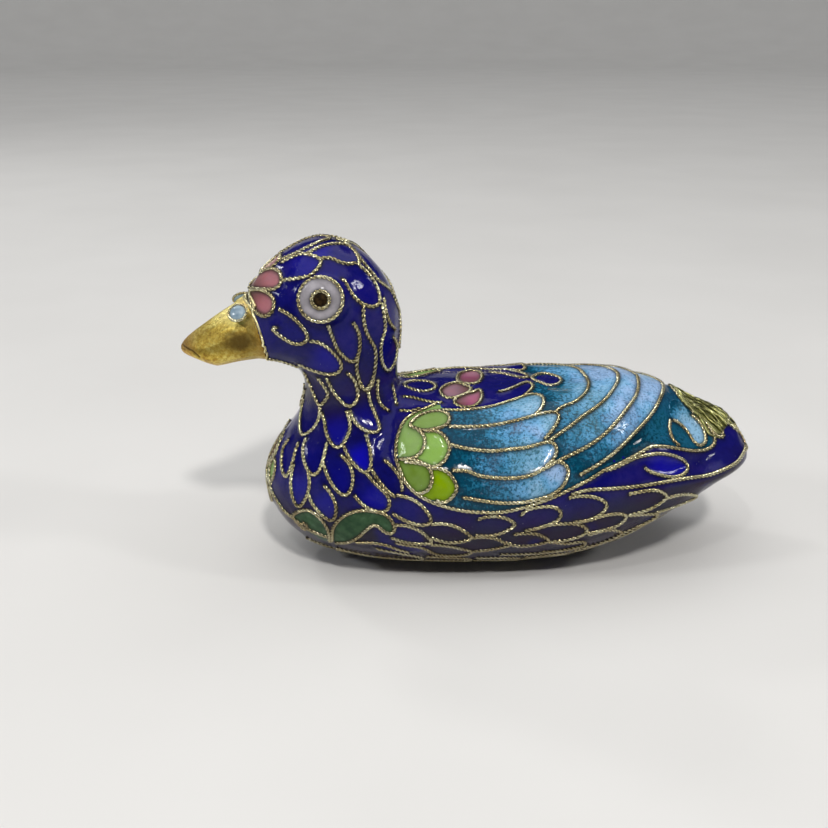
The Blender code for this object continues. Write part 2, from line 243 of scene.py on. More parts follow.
# Lines on the tail and on the flank above the rim.
TAIL_WIRES = {
    "rim": [
        (571, 494.5), (586, 490.5), (607, 489), (624, 487.5), (646.5, 485), (666, 482), (687, 478.5),
        (708, 475), (725, 469), (737.5, 462), (744, 451), (745, 440), (742, 430), (737, 421)],
    "flank_eye": [
        (632, 459), (646, 455), (661, 453.5), (675, 456.5), (684.5, 462), (687.5, 468.5), (683, 474.5),
        (673, 477.5), (661, 475.5), (649.5, 471.5), (645, 467.5)],
    "flank_line": [(606, 470), (614, 468), (624, 463.5), (633, 459)],
    "tail_petal": [
        (672.5, 420), (680, 424.5), (687, 431.5), (694, 442), (700.5, 445.5), (705.5, 440.5), (703.5, 429.5),
        (698, 421), (691, 415)],
    "tail_petal_back": [(670.5, 420), (669.5, 428.5), (673, 439.5), (679, 446)],
    "tail_end_hook": [(709, 428), (714, 433.5), (719, 437.5), (723.5, 436.5), (722, 431)],
    "tail_end_line": [(722, 420), (730, 425), (737, 431)],
    "ridge": [(663, 380.5), (672, 388), (681, 398), (688, 406), (693, 413.5)],
}

# Lines on the hull, under the rim and the wing.
HULL_WIRES = {
    "hull_1a": [
        (397, 495), (409, 498), (419.5, 504), (427, 512), (431, 519), (428.5, 524), (419.5, 525), (408, 522),
        (399, 517.5), (393, 513.5)],
    "hull_2a": [
        (395, 525), (406.5, 525.5), (418, 529.5), (427, 536), (431, 542.5), (414.5, 543), (401.5, 541),
        (391.5, 537.5)],
    "hull_2b": [
        (431, 524), (442.5, 523.5), (454, 526), (464, 531.5), (471, 537.5), (463, 541), (450, 542.5),
        (438.5, 540.5), (430.5, 537.5)],
    "hull_1b": [
        (478, 519.5), (486, 517), (498.5, 516.5), (509, 519.5), (515, 524.5), (509, 529.5), (498.5, 534),
        (488.5, 535.5), (476, 535)],
    "hull_2c": [
        (471.5, 537.5), (484.5, 536.5), (496, 538.5), (504, 542.5), (511, 544), (498.5, 547.5), (484.5, 550),
        (473, 551)],
    "hull_1c": [
        (521, 515), (528, 509.5), (541, 507), (553, 507), (560.5, 512), (559, 519), (550.5, 524), (539, 528),
        (525, 530.5)],
    "hull_1d": [
        (569, 498), (578.5, 496), (592.5, 496.5), (604, 501), (606.5, 506.5), (601, 513.5), (590, 519),
        (575, 523)],
    "hull_2d": [(514, 534), (525, 533), (538, 534.5), (548, 540.5), (535, 544.5), (521, 546), (508, 544.5)],
    "hull_2e": [
        (535, 529), (549, 525), (566, 523.5), (578.5, 524), (587, 529), (585, 533), (578.5, 536.5),
        (564.5, 540), (552, 541)],
    "hull_2f": [
        (573, 522), (590, 519.5), (604, 515.5), (619, 514), (626, 516.5), (622, 522), (613.5, 527),
        (601, 530.5), (587, 533)],
    "hull_1e": [
        (629, 494), (643, 491.5), (656, 490.5), (665.5, 494.5), (665.5, 498.5), (657, 505), (646, 510.5),
        (629, 515)],
    "hull_2g": [(628, 515.5), (646, 514), (658, 514), (649, 520.5), (635, 527), (621, 533)],
    "hull_1f": [
        (666, 498), (678, 495), (688, 494.5), (696, 496.5), (682.5, 503.5), (668.5, 508.5), (656, 512)],
    "hull_3a": [(588, 535), (604, 530.5), (615, 530), (621, 533), (609.5, 539), (597, 543.5), (583, 547)],
    "hull_3b": [(549, 541.5), (566, 543), (582, 541.5), (584, 544.5), (570, 548), (556, 550.5), (542, 551.5)],
    "hull_3c": [(355.5, 542), (371, 542.5), (386, 545), (398, 549), (409, 552)],
    "hull_foot": [
        (500, 554), (521, 553.5), (546, 552), (570, 549), (590, 546), (612, 539), (633, 530), (654, 518)],
    "hull_3d": [
        (396, 542.5), (409, 545), (422, 547.5), (432, 552.5), (440, 554.5), (454, 555), (468, 553.5),
        (471, 551), (460, 548), (447.5, 545.5), (431, 544.5)],
}

# Lines that cross or keep close to the middle of the back, drawn as the frame shows them.
BACK_WIRES = {
    "flower_front": [
        (441, 389.5), (447.5, 385), (456.5, 383), (465.5, 385.5), (471.5, 389), (467, 393.5), (456.5, 397.5),
        (447.5, 398), (442, 394.5), (441, 389.5)],
    "flower_near": [
        (455, 400), (463, 395), (473, 392.5), (480, 389.5), (482.5, 395.5), (480, 402), (473, 406.5),
        (463, 407), (456, 404), (455, 400)],
    "middle_oval": [
        (532, 378.5), (543, 383.5), (551, 385.5), (559, 383.5), (561, 378.5), (551, 374.5), (540, 374),
        (532, 378.5)],
    "neck_oval": [
        (404, 385), (411, 388.5), (420, 391), (429, 391), (436, 387.5), (433, 383), (423, 381), (411, 381.5),
        (404, 385)],
}
# Lines past the middle of the back, as (x, y) mm seen from above. Mirrored lines stop at the petal.
ABOVE_WIRES = {
    "flower_far": [
        (-1.9, 1.0), (-1.4, 3.2), (-0.3, 5.0), (0.9, 5.9), (1.6, 4.6), (1.7, 2.3), (1.1, 0.2), (0.4, -0.9),
        (-0.7, -1.0), (-1.6, -0.5), (-1.9, 1.0)],
    "far_petal": [
        (-8.5, 2.8), (-7.0, 3.1), (-5.4, 4.5), (-4.2, 5.8), (-3.4, 6.9), (-3.9, 7.6), (-5.4, 7.7),
        (-7.3, 7.1), (-8.8, 5.6), (-9.1, 3.8), (-8.5, 2.8)],
}
# The rim round the tail's end, as (y, z) mm seen from behind.
TAIL_END = [(-5.9, 14.6), (-4.2, 14.3), (-2.2, 14.1), (0.0, 14.0), (2.2, 14.1), (4.2, 14.3), (5.9, 14.6)]
# The gilt patch under the fan, as (x, y) mm seen from above: one side, and the wire behind it.
FAN_PATCH = [
    (27.0, 0.0), (27.1, -2.0), (27.5, -3.0), (28.3, -3.5), (29.3, -4.0), (30.1, -4.8), (30.8, -5.5),
    (31.8, -5.7), (32.9, -4.7), (33.9, -3.4), (34.6, -1.8), (34.9, 0.0)]
FAN_EDGE = FAN_PATCH[-3:] + [(x, -y) for x, y in FAN_PATCH[-2:-4:-1]]
# Lines on the back that the far side mirrors.
SHOULDER_WIRES = {
    "hook": [
        (498.5, 392), (505, 391), (515, 387), (524, 383), (530, 382.5), (533, 386), (531, 390), (524, 396)],
    "back_line_upper": [(403, 396.5), (413, 397.5), (422, 400), (433.5, 402.5), (442, 403)],
    "back_line_lower": [(400, 410), (411, 411), (420, 408.5)],
}

# What fills the cells: finish, closed outline, lightness, root, tip and where the outline is drawn:
# in the frame and mirrored, in the frame alone, mirrored alone, or seen from above. A later cell lies
# over an earlier one, and the rest is the ground's blue.
WING_SKIN = (
    WING_WIRES["wing_rim"][:26] + WING_WIRES["primary_fourth"][1:]
    + [(656, 376), (646, 370), (631, 366), (616, 366), (594, 367), (578, 371), (566, 375), (562, 379),
       (559.5, 384), (551, 386.5), (543, 384.5), (534, 381), (533.5, 386), (531, 391)]
    + WING_WIRES["row_first"][7:0:-1]
)
HOLLOW_SKIN = (
    WING_WIRES["primary_fourth"][1:] + [(664, 380)] + TAIL_WIRES["ridge"][1:]
    + WING_WIRES["wing_rim"][34:24:-1]
)
FIRST, SECOND = WING_WIRES["primary_first"], WING_WIRES["primary_second"]
THIRD, FOURTH = WING_WIRES["primary_third"], WING_WIRES["primary_fourth"]
ROWS = [WING_WIRES[name] for name in ("row_first", "row_second", "row_third", "row_fourth")]
COMB_TOP = [(669, 382.5), (683, 392), (699, 397.5), (714, 402), (728, 411), (740, 428)]
COMB_LOW = [(684, 404), (692, 411), (699, 418), (704, 426), (710, 432.5), (717, 437)]
CELLS = [
    ("hollow_blue", HOLLOW_SKIN, 0.5, (640, 462), (680, 400), "both"),
    ("wing_blue", WING_SKIN, 0.5, (300, 440), (1500, 440), "both"),
    ("wing_blue", [(543, 404), (543, 396), (549, 390), (561, 386.5), (567, 377), (577, 374)] + FIRST[::-1],
     0.5, (530, 406), (596, 374), "both"),
    ("wing_blue", FIRST + [(594, 368.5), (605, 367)] + SECOND[::-1], 0.5, (532, 446), (612, 371), "both"),
    ("wing_blue", SECOND + [(622, 367)] + THIRD[::-1], 0.5, (530, 475), (632, 372), "both"),
    ("wing_blue", THIRD + [(646, 370)] + FOURTH[::-1], 0.5, (556, 488), (654, 378), "both"),
    ("wing_blue", ROWS[3], 0.5, (452, 486), (566, 476), "both"),
    ("wing_blue", ROWS[2] + ROWS[3][6::-1], 0.5, (442, 458), (556, 452), "both"),
    ("wing_blue", ROWS[1] + ROWS[2][7::-1], 0.5, (452, 438), (560, 424), "both"),
    ("wing_blue", ROWS[0] + ROWS[1][5::-1], 0.5, (440, 420), (541, 402), "both"),
    ("wing_blue", TAIL_WIRES["tail_petal"] + [(684, 406), (677, 399), (670, 404)], 0.9, (668, 402),
     (688, 420), "both"),
    ("comb_gilt", FAN_PATCH + [(x, -y) for x, y in FAN_PATCH[-2:0:-1]], 0.5, (27.0, 0.0), (35.0, 0.0),
     "above"),
    ("ground", ROWS[0] + ROWS[1][5::-1], 0.0, (440, 420), (541, 402), "far"),
    ("petal_green", ABOVE_WIRES["far_petal"], 0.30, (-3.4, 6.9), (-8.9, 3.6), "above"),
    ("petal_green", [(404, 422), (413, 414), (422, 410), (436, 404), (443, 409), (440, 411), (428, 412),
                     (418, 416), (410, 425)], 0.45, (410, 426), (440, 405), "both"),
    ("petal_green", WING_WIRES["green_left"] + [(397, 452), (397, 444), (399, 433), (404, 422), (410, 425)],
     0.40, (412, 426), (404, 458), "both"),
    ("petal_green", WING_WIRES["green_top"], 0.22, (410, 425), (448, 415), "both"),
    ("petal_green", WING_WIRES["green_middle"], 0.65, (426, 434), (430, 464), "both"),
    ("petal_green", WING_WIRES["green_low_left"] + [(410, 488), (405.5, 482.5), (400, 470), (399, 461)], 0.10,
     (404, 462), (424, 490), "both"),
    ("petal_green",
     WING_WIRES["green_low_right"] + [(428, 500), (420, 495), (426, 491), (431, 484), (431.5, 474)],
     1.0, (433, 470), (448, 500), "both"),
    ("leaf_green", BREAST_WIRES["leaf_large"], 0.5, (334, 540), (392, 525), "both"),
    ("leaf_green", BREAST_WIRES["leaf_small"] + [(326, 542), (314, 536), (305, 529)], 0.5, (300, 515),
     (328, 536), "both"),
    ("petal_pink", HEAD_WIRES["brow_petal_upper"], 0.4, (250, 286), (280, 278), "both"),
    ("petal_pink", HEAD_WIRES["brow_petal_lower"], 0.5, (251, 293), (272, 308), "both"),
    ("petal_pink", HEAD_WIRES["brow_petal_crown"], 0.4, (250, 282), (279, 255), "both"),
    ("petal_pink", ABOVE_WIRES["flower_far"], 0.9, (0.2, -1.0), (0.9, 5.9), "above"),
    ("petal_pink", BACK_WIRES["flower_front"], 0.1, (470, 389), (443, 391), "frame"),
    ("petal_pink", BACK_WIRES["flower_near"], 0.9, (458, 403), (480, 394), "frame"),
    ("eye_white", HEAD_WIRES["eye_rim"], 0.5, (298, 299), (342, 299), "both"),
    ("eye_dark", HEAD_WIRES["pupil_rim"], 0.5, (311, 299), (329, 299), "both"),
]
# How clear the blue is in the feathers; those not named are as dark as the ground. The values for crown_loop
# and forehead_loop partly paint the sheen on the crown.
FEATHER_CLEARNESS = {
    "forehead_loop": 0.30, "crown_loop": 0.40, "behind_eye": 0.12, "cheek_feather_front": 0.08,
    "cheek_feather_lower": 0.60, "cheek_feather_rear": 0.10, "nape_feather": 0.10, "neck_feather": 0.0,
    "neck_side": 0.0, "neck_front": 0.0, "neck_front_lower": 0.0, "neck_rear": 0.0, "breast_top": 0.50,
    "shoulder_upper": 0.25, "breast_front": 0.05, "breast_front_inner": 0.10, "breast_low_front": 0.40,
    "breast_low": 0.45, "breast_middle": 0.25, "shoulder_middle": 1.0, "shoulder_low": 0.45,
    "flank_eye": 0.75,
}
# The breast's flower, seen from the front: centre height, petal length and half width, in mm.
FLOWER_HEIGHT_MM = 12.0
FLOWER_PETAL_MM = (4.4, 1.5)
# How many wires the fan on the tail has, between its top and its low one.
COMB_WIRES = 15

# Underside: rows of feathers that the frame doesn't show, beside the flat, ahead of it and behind it, in mm:
# how far the row is from the middle, half a feather's width, where the row starts and where it ends.
UNDER_ROWS_MM = (
    (10.0, 1.4, -13.5, 24.0), (7.1, 1.2, -18.5, 31.0), (3.6, 1.3, -22.5, -12.5), (3.6, 1.3, 14.0, 33.8),
    (0.0, 1.4, -24.5, -12.5), (0.0, 1.4, 15.0, 34.6))
UNDER_FEATHER_MM = 6.4
FEATHER_OUTLINE = (
    (0.0, 1.0), (0.45, 1.0), (0.78, 0.72), (0.93, 0.0), (0.78, -0.72), (0.45, -1.0), (0.0, -1.0))

# Nostril beads.
NOSTRIL_PIXEL = (238.6, 314.2)
NOSTRIL_RADIUS = 0.00108
NOSTRIL_LIFT = 0.00022
NOSTRIL_FACING = (-0.22, -0.70, 0.68)
RIM_RADIUS = 0.00013
RIM_SWING = 0.00007
RIM_TWISTS = 8

# Beak: the way it points from its seat, how far its edge laps over the face, its mouth line and its stain.
SEAT_AHEAD = np.array((-0.964, 0.0, -0.266))
LAP_TOP, LAP_SIDES = 0.00025, 0.00090
LAP_STAND = 0.00024
MOUTH_DEPTH, MOUTH_REACH, MOUTH_SHADE = 0.00026, 0.00018, 0.00020
REAR_REACH = 0.0020
SEAT_WIRE_RADIUS, SEAT_WIRE_LIFT = 0.00017, 0.00003
BAR_RADIUS, BAR_LIFT = 0.00022, 0.00030
MOUTH_SEAM = [(181, 342.5), (184, 346.5), (188, 349), (192, 351.5), (198.5, 357)]
BEAK_STAIN_PIXEL = (240, 342)


class Sight:
    """The camera, and the way between its pixels and the duck."""

    def __init__(self):
        turn, rise = CAMERA_TURN, CAMERA_ELEVATION
        back = np.array([-math.sin(turn) * math.cos(rise), -math.cos(turn) * math.cos(rise), math.sin(rise)])
        self.place = np.array(AIM_POINT) + back * CAMERA_DISTANCE
        self.look_along(-back)
        for _ in range(20):
            across, down = self.pixels(np.array([AIM_POINT]))[0]
            aside = self.ahead - self.right * ((AIM_PIXEL[0] - across) / FOCAL_PIXELS)
            self.look_along(aside + self.up * ((AIM_PIXEL[1] - down) / FOCAL_PIXELS))

    def look_along(self, ahead):
        self.ahead = ahead / np.linalg.norm(ahead)
        right = np.cross(self.ahead, (0.0, 0.0, 1.0))
        self.right = right / np.linalg.norm(right)
        self.up = np.cross(self.right, self.ahead)

    def pixels(self, points):
        away = points - self.place
        depth = away @ self.ahead
        middle = FRAME_PIXELS / 2
        across = middle + FOCAL_PIXELS * (away @ self.right) / depth
        down = middle - FOCAL_PIXELS * (away @ self.up) / depth
        return np.stack([across, down], axis=1)

    def ray(self, pixel):
        middle = FRAME_PIXELS / 2
        across, down = (pixel[0] - middle) / FOCAL_PIXELS, (pixel[1] - middle) / FOCAL_PIXELS
        return Vector(self.place), Vector(self.ahead + self.right * across - self.up * down).normalized()


def front_ray(place):
    """A sight line on the duck from straight ahead, at (y, z) in mm."""
    return Vector((-0.08, place[0] * MM, place[1] * MM)), Vector((1.0, 0.0, 0.0))


def above_ray(place):
    """A sight line on the duck from straight above, at (x, y) in mm."""
    return Vector((place[0] * MM, place[1] * MM, 0.08)), Vector((0.0, 0.0, -1.0))


def behind_ray(place):
    """A sight line on the duck from straight behind, at (y, z) in mm."""
    return Vector((0.08, place[0] * MM, place[1] * MM)), Vector((-1.0, 0.0, 0.0))


def under_ray(place):
    """A sight line on the duck from straight below, at (x, y) in mm."""
    return Vector((place[0] * MM, place[1] * MM, -0.05)), Vector((0.0, 0.0, 1.0))


def smooth_line(points, step):
    """Close points on a smooth line through the drawn ones, which is closed if it ends where it starts."""
    drawn = np.asarray(points, float)
    if np.allclose(drawn[0], drawn[-1]):
        known = np.vstack([drawn[-2], drawn, drawn[1]])
    else:
        known = np.vstack([2 * drawn[0] - drawn[1], drawn, 2 * drawn[-1] - drawn[-2]])
    pieces = []
    for before, start, end, after in zip(known, known[1:], known[2:], known[3:]):
        count = max(2, math.ceil(np.linalg.norm(end - start) / step))
        t = np.linspace(0.0, 1.0, count, endpoint=False)[:, None]
        bend = (2 * before - 5 * start + 4 * end - after) * t**2
        twist = (3 * start - before - 3 * end + after) * t**3
        pieces.append(0.5 * (2 * start + (end - before) * t + bend + twist))
    pieces.append(known[-2][None])
    return np.vstack(pieces)


def even_line(points, step):
    """Points at even steps along a line in space."""
    spans = np.linalg.norm(np.diff(points, axis=0), axis=1)
    travel = np.concatenate([[0.0], np.cumsum(spans)])
    count = max(4, int(travel[-1] / step))
    places = np.linspace(0.0, travel[-1], count)
    return np.stack([np.interp(places, travel, points[:, k]) for k in range(3)], axis=1)


def lay_on(skin, points, ray, step=1.0):
    """The places in space where a drawn line lies on a skin, in one or more runs."""
    runs, run, last_depth = [], [], None
    for place in smooth_line(points, step):
        start, along = ray(place)
        hit, _, _, depth = skin.ray_cast(start, along)
        if hit is None and last_depth is not None:
            hit = skin.find_nearest(start + along * last_depth)[0]
            depth = last_depth
        if hit is None:
            continue
        if run and (hit - run[-1]).length > 0.0022:
            runs.append(run)
            run = []
        run.append(hit)
        last_depth = depth
    runs.append(run)
    return [np.array([tuple(p) for p in r]) for r in runs if len(r) > 3]


def mirrored(points):
    return points * np.array([1.0, -1.0, 1.0])


def settle(skin, points, step):
    """Evens a line out, keeps it on the skin and gives the skin's normals along it."""
    line = even_line(points, step)
    closed = np.linalg.norm(line[0] - line[-1]) < 2 * step
    for _ in range(3):
        inner = (line[:-2] + 2 * line[1:-1] + line[2:]) / 4
        line = np.vstack([line[:1], inner, line[-1:]])
    normals = []
    for k, point in enumerate(line):
        near, normal, _, _ = skin.find_nearest(Vector(point))
        line[k] = near
        normals.append(normal)
    normals = np.array([tuple(n) for n in normals])
    for _ in range(6):
        normals[1:-1] = (normals[:-2] + 2 * normals[1:-1] + normals[2:]) / 4
    normals /= np.linalg.norm(normals, axis=1, keepdims=True)
    if closed:
        line[-1] = line[0]
    return line, normals


def select_only(piece):
    bpy.ops.object.select_all(action="DESELECT")
    piece.select_set(True)
    bpy.context.view_layer.objects.active = piece


def apply_modifier(piece, kind, **settings):
    select_only(piece)
    modifier = piece.modifiers.new(kind.title(), kind)
    for name, value in settings.items():
        setattr(modifier, name, value)
    bpy.ops.object.modifier_apply(modifier=modifier.name)


def copy_of(node, name):
    """A merged copy of a CAD node, as a new piece."""
    piece = node.copy()
    piece.data = node.data.copy()
    for key in list(piece.keys()):
        del piece[key]
    piece.name = name
    piece.parent = None
    piece.data.materials.clear()
    bpy.context.scene.collection.objects.link(piece)
    select_only(piece)
    bpy.ops.object.mode_set(mode="EDIT")
    bpy.ops.mesh.select_all(action="SELECT")
    bpy.ops.mesh.remove_doubles(threshold=0.000002)
    bpy.ops.mesh.normals_make_consistent(inside=False)
    bpy.ops.object.mode_set(mode="OBJECT")
    return piece


def triples(items, name):
    """A vector of each corner or face of a mesh, as rows of three numbers."""
    found = np.empty(len(items) * 3, np.float32)
    items.foreach_get(name, found)
    return found.reshape(-1, 3).astype(float)


def corners(piece):
    return triples(piece.data.vertices, "co")


def corner_normals(piece):
    return triples(piece.data.vertex_normals, "vector")


def nearest(lines, places):
    """How far each place is from the nearest point of the lines."""
    points = np.vstack(lines)
    tree = KDTree(len(points))
    for index, point in enumerate(points):
        tree.insert(point, index)
    tree.balance()
    return np.array([tree.find(place)[2] for place in places])


def place_corners(piece, places):
    piece.data.vertices.foreach_set("co", places.astype(np.float32).ravel())
    piece.data.update()


def set_values(piece, name, values):
    """A number for each corner, for the finishes to read."""
    layer = piece.data.attributes.new(name, "FLOAT", "POINT")
    layer.data.foreach_set("value", values.astype(np.float32))


def within(outline, places):
    """Which places in the frame lie inside a closed outline."""
    edge = smooth_line([*outline, outline[0]], 3.0)
    inside = np.zeros(len(places), bool)
    box = (places >= edge.min(0)).all(1) & (places <= edge.max(0)).all(1)
    across, down = places[box].T
    found = np.zeros(len(across), bool)
    for (x0, y0), (x1, y1) in zip(edge, edge[1:]):
        if y0 == y1:
            continue
        crosses = (y0 > down) != (y1 > down)
        found ^= crosses & (across < (x1 - x0) * (down - y0) / (y1 - y0) + x0)
    inside[box] = found
    return inside


def tidy_piece(piece, finish=None):
    if finish:
        piece.data.materials.append(finish)
    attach(piece, "root")


def strand_curve(name, radius):
    data = bpy.data.curves.new(name, "CURVE")
    data.dimensions = "3D"
    data.bevel_depth = radius
    data.bevel_resolution = 1
    data.use_fill_caps = True
    data.twist_mode = "MINIMUM"
    return data


def add_strand(data, places):
    spline = data.splines.new("POLY")
    spline.points.add(len(places) - 1)
    spline.points.foreach_set("co", np.hstack([places, np.ones((len(places), 1))]).astype(np.float32).ravel())


def make_mesh_piece(name, data):
    """The curve as a closed mesh."""
    piece = bpy.data.objects.new(name, data)
    bpy.context.scene.collection.objects.link(piece)
    select_only(piece)
    bpy.ops.object.convert(target="MESH")
    bpy.ops.object.mode_set(mode="EDIT")
    bpy.ops.mesh.select_all(action="SELECT")
    bpy.ops.mesh.remove_doubles(threshold=0.000001)
    bpy.ops.mesh.normals_make_consistent(inside=False)
    bpy.ops.object.mode_set(mode="OBJECT")
    bpy.ops.object.shade_smooth()
    return piece


def twisted_wires(name, lines, skin, finish):
    """Makes a piece of two-strand twisted wires along lines on the skin, and gives their middle points."""
    data = strand_curve(name, STRAND_RADIUS)
    middles = []
    for index, line in enumerate(lines):
        middle, normals = settle(skin, line, WIRE_STEP)
        ahead = np.gradient(middle, axis=0)
        ahead /= np.maximum(np.linalg.norm(ahead, axis=1, keepdims=True), 1e-12)
        beside = np.cross(normals, ahead)
        lay = LAY * (1.0 + 0.10 * math.sin(5.1 * index + 1.0))
        start = 2.3 * index
        turn = start + 2 * math.pi * WIRE_STEP * np.arange(len(middle)) / lay
        slack = 0.00004 * np.sin(turn / 9.0 + index)[:, None]
        raised = middle + normals * WIRE_LIFT + beside * slack
        for phase in (0.0, math.pi):
            sway, rise = np.cos(turn + phase)[:, None], np.sin(turn + phase)[:, None]
            strand = raised + STRAND_OFFSET * (sway * beside + rise * normals)
            strand[:, 2] = np.maximum(strand[:, 2], STRAND_RADIUS)
            add_strand(data, strand)
        middles.append(middle)
    tidy_piece(make_mesh_piece(name, data), finish)
    return middles


def plain_wires(name, lines, skin, radius, finish, lift):
    """Makes a piece of single round wires along lines on the skin, and gives their middle points."""
    data = strand_curve(name, radius)
    middles = []
    for index, line in enumerate(lines):
        middle, normals = settle(skin, line, 2 * WIRE_STEP)
        wave = 0.00005 * np.sin(np.arange(len(middle)) * 0.55 + 2.1 * index)
        add_strand(data, middle + normals * (lift + wave[:, None]))
        middles.append(middle)
    tidy_piece(make_mesh_piece(name, data), finish)
    return middles


class Value:
    """A number or colour in a finish's node tree; sums and products of numbers add Math nodes."""

    def __init__(self, finish, socket):
        self.finish, self.socket = finish, socket

    def math(self, operation, *others):
        inputs = dict(enumerate((self, *others)))
        return self.finish.node("ShaderNodeMath", {"operation": operation}, inputs)

    def __add__(self, other):
        return self.math("ADD", other)

    def __sub__(self, other):
        return self.math("SUBTRACT", other)

    def __mul__(self, other):
        return self.math("MULTIPLY", other)

    def __truediv__(self, other):
        return self.math("DIVIDE", other)

    def __pow__(self, other):
        return self.math("POWER", other)

    def __rsub__(self, other):
        return self.finish.node("ShaderNodeMath", {"operation": "SUBTRACT"}, {0: other, 1: self})

    __radd__, __rmul__ = __add__, __mul__

    def clamped(self):
        return self.finish.node("ShaderNodeClamp", {}, {"Value": self})

    def between(self, low, high):
        """0 below low, 1 above high and smooth in between."""
        return self.finish.node(
            "ShaderNodeMapRange", {"interpolation_type": "SMOOTHSTEP"},
            {"Value": self, "From Min": low, "From Max": high},
        )


class Finish:
    """A material on a Principled shader."""

    def __init__(self, name, **sockets):
        self.material = bpy.data.materials.new(name)
        self.material.use_nodes = True
        self.tree = self.material.node_tree
        self.shader = self.tree.nodes["Principled BSDF"]
        for socket, value in sockets.items():
            self.shader.inputs[socket.replace("_", " ").title().replace("Ior", "IOR")].default_value = value
        spot = self.node("ShaderNodeTexCoord", {}, {}, "Object")
        self.spot = self.node("ShaderNodeVectorMath", {"operation": "SCALE"}, {0: spot, "Scale": 1000.0}, 0)

    def node(self, kind, settings, inputs, output=0):
        made = self.tree.nodes.new(kind)
        for name, value in settings.items():
            if name == "stops":
                self.set_stops(made.color_ramp, value)
            else:
                setattr(made, name, value)
        for name, value in inputs.items():
            self.feed(made.inputs[name], value)
        return Value(self, made.outputs[output])

    def vectors(self, operation, *inputs):
        return self.node("ShaderNodeVectorMath", {"operation": operation}, dict(enumerate(inputs)))

    def axis(self, name):
        """How far the place is along an axis, in mm."""
        return self.node("ShaderNodeSeparateXYZ", {}, {0: self.spot}, name)

    def feed(self, socket, value):
        if isinstance(value, Value):
            self.tree.links.new(value.socket, socket)
        elif isinstance(value, tuple) and len(value) == 3 and socket.type == "RGBA":
            socket.default_value = (*value, 1.0)
        else:
            socket.default_value = value

    def set_stops(self, ramp, stops):
        while len(ramp.elements) < len(stops):
            ramp.elements.new(0.5)
        for element, (position, colour) in zip(ramp.elements, stops):
            element.position = position
            element.color = (*colour, 1.0)

    def noise(self, scale, detail=2.0, roughness=0.5, spot=None):
        inputs = {"Vector": spot or self.spot, "Scale": scale, "Detail": detail, "Roughness": roughness}
        return self.node("ShaderNodeTexNoise", {}, inputs, 0)

    def cells(self, scale, feature="F1"):
        inputs = {"Vector": self.spot, "Scale": scale}
        return self.node("ShaderNodeTexVoronoi", {"feature": feature}, inputs, 0)

    def read(self, name):
        return self.node("ShaderNodeAttribute", {"attribute_name": name}, {}, "Fac")

    def ramp(self, share, stops):
        return self.node("ShaderNodeValToRGB", {"stops": stops}, {0: share}, 0)

    def mix(self, share, first, second):
        made = self.tree.nodes.new("ShaderNodeMix")
        made.data_type = "RGBA"
        self.feed(made.inputs["Factor"], share)
        self.feed(made.inputs[6], first)
        self.feed(made.inputs[7], second)
        return Value(self, made.outputs[2])

    def bump(self, height, distance, strength):
        inputs = {"Height": height, "Distance": distance, "Strength": strength}
        return self.node("ShaderNodeBump", {}, inputs, 0)

    def paint(self, **sockets):
        for socket, value in sockets.items():
            self.feed(self.shader.inputs[socket.replace("_", " ").title()], value)
        return self.material


def enamel_gloss(finish, colour, wear=0.0):
    """Glassy enamel: darker and duller beside the wires, where the dark is partly the oxide fringe under thin
    enamel and partly painted shade, with pinholes and an uneven fired face.
    """
    seam = finish.read("seam")
    # Beside the wires the colour is darkened to near black: partly the real dark fringe of oxide, partly
    # painted shade cast by the raised wires.
    stain = (seam * 1.15).clamped()
    shaded = finish.mix(seam * 0.45, colour, (0.0, 0.0, 0.0))
    shaded = finish.mix(stain ** 3.0 * 0.85, shaded, (0.016, 0.014, 0.010))
    pin = 1.0 - finish.cells(1.5).between(0.050, 0.085)
    dust = finish.noise(0.45, 2.0).between(0.52, 0.60)
    shaded = finish.mix(pin * dust * 0.5, shaded, (0.30, 0.30, 0.40))
    smear = finish.noise(0.6, 3.0).between(0.45, 0.75)
    roughness = 0.05 + smear * 0.05 + stain * 0.14 + wear
    ripple = finish.noise(0.50, 1.0) + finish.noise(3.0, 2.0) * 0.24
    relief = finish.bump(ripple, 0.00013, 0.6)
    return finish.paint(base_color=shaded, roughness=roughness, normal=relief)


def ground_blue():
    finish = Finish("cobalt_enamel", specular_ior_level=ENAMEL_SHINE)
    drift = finish.noise(0.16, 2.0)
    fine = finish.noise(1.1, 3.0)
    colour = finish.ramp(drift * 0.65 + fine * 0.35, (
        (0.32, (0.0030, 0.0030, 0.075)), (0.48, (0.0040, 0.0045, 0.120)), (0.60, (0.0120, 0.0090, 0.130)),
        (0.72, (0.0050, 0.0100, 0.155))))
    colour = finish.mix(finish.read("light"), colour, (0.0040, 0.0035, 0.340))
    # Grey-purple where the dusk attribute is high: partly the enamel's own grey, partly a painted reflection
    # of the floor on faces turned from the sky.
    dusky = finish.ramp(finish.noise(0.22, 2.0), (
        (0.40, (0.0190, 0.0105, 0.0330)), (0.60, (0.0190, 0.0180, 0.0400))))
    stray = finish.noise(0.13, 2.0).between(0.56, 0.66)
    colour = finish.mix(finish.read("dusk") * (1.0 - stray * 0.7), colour, dusky)
    return enamel_gloss(finish, colour)


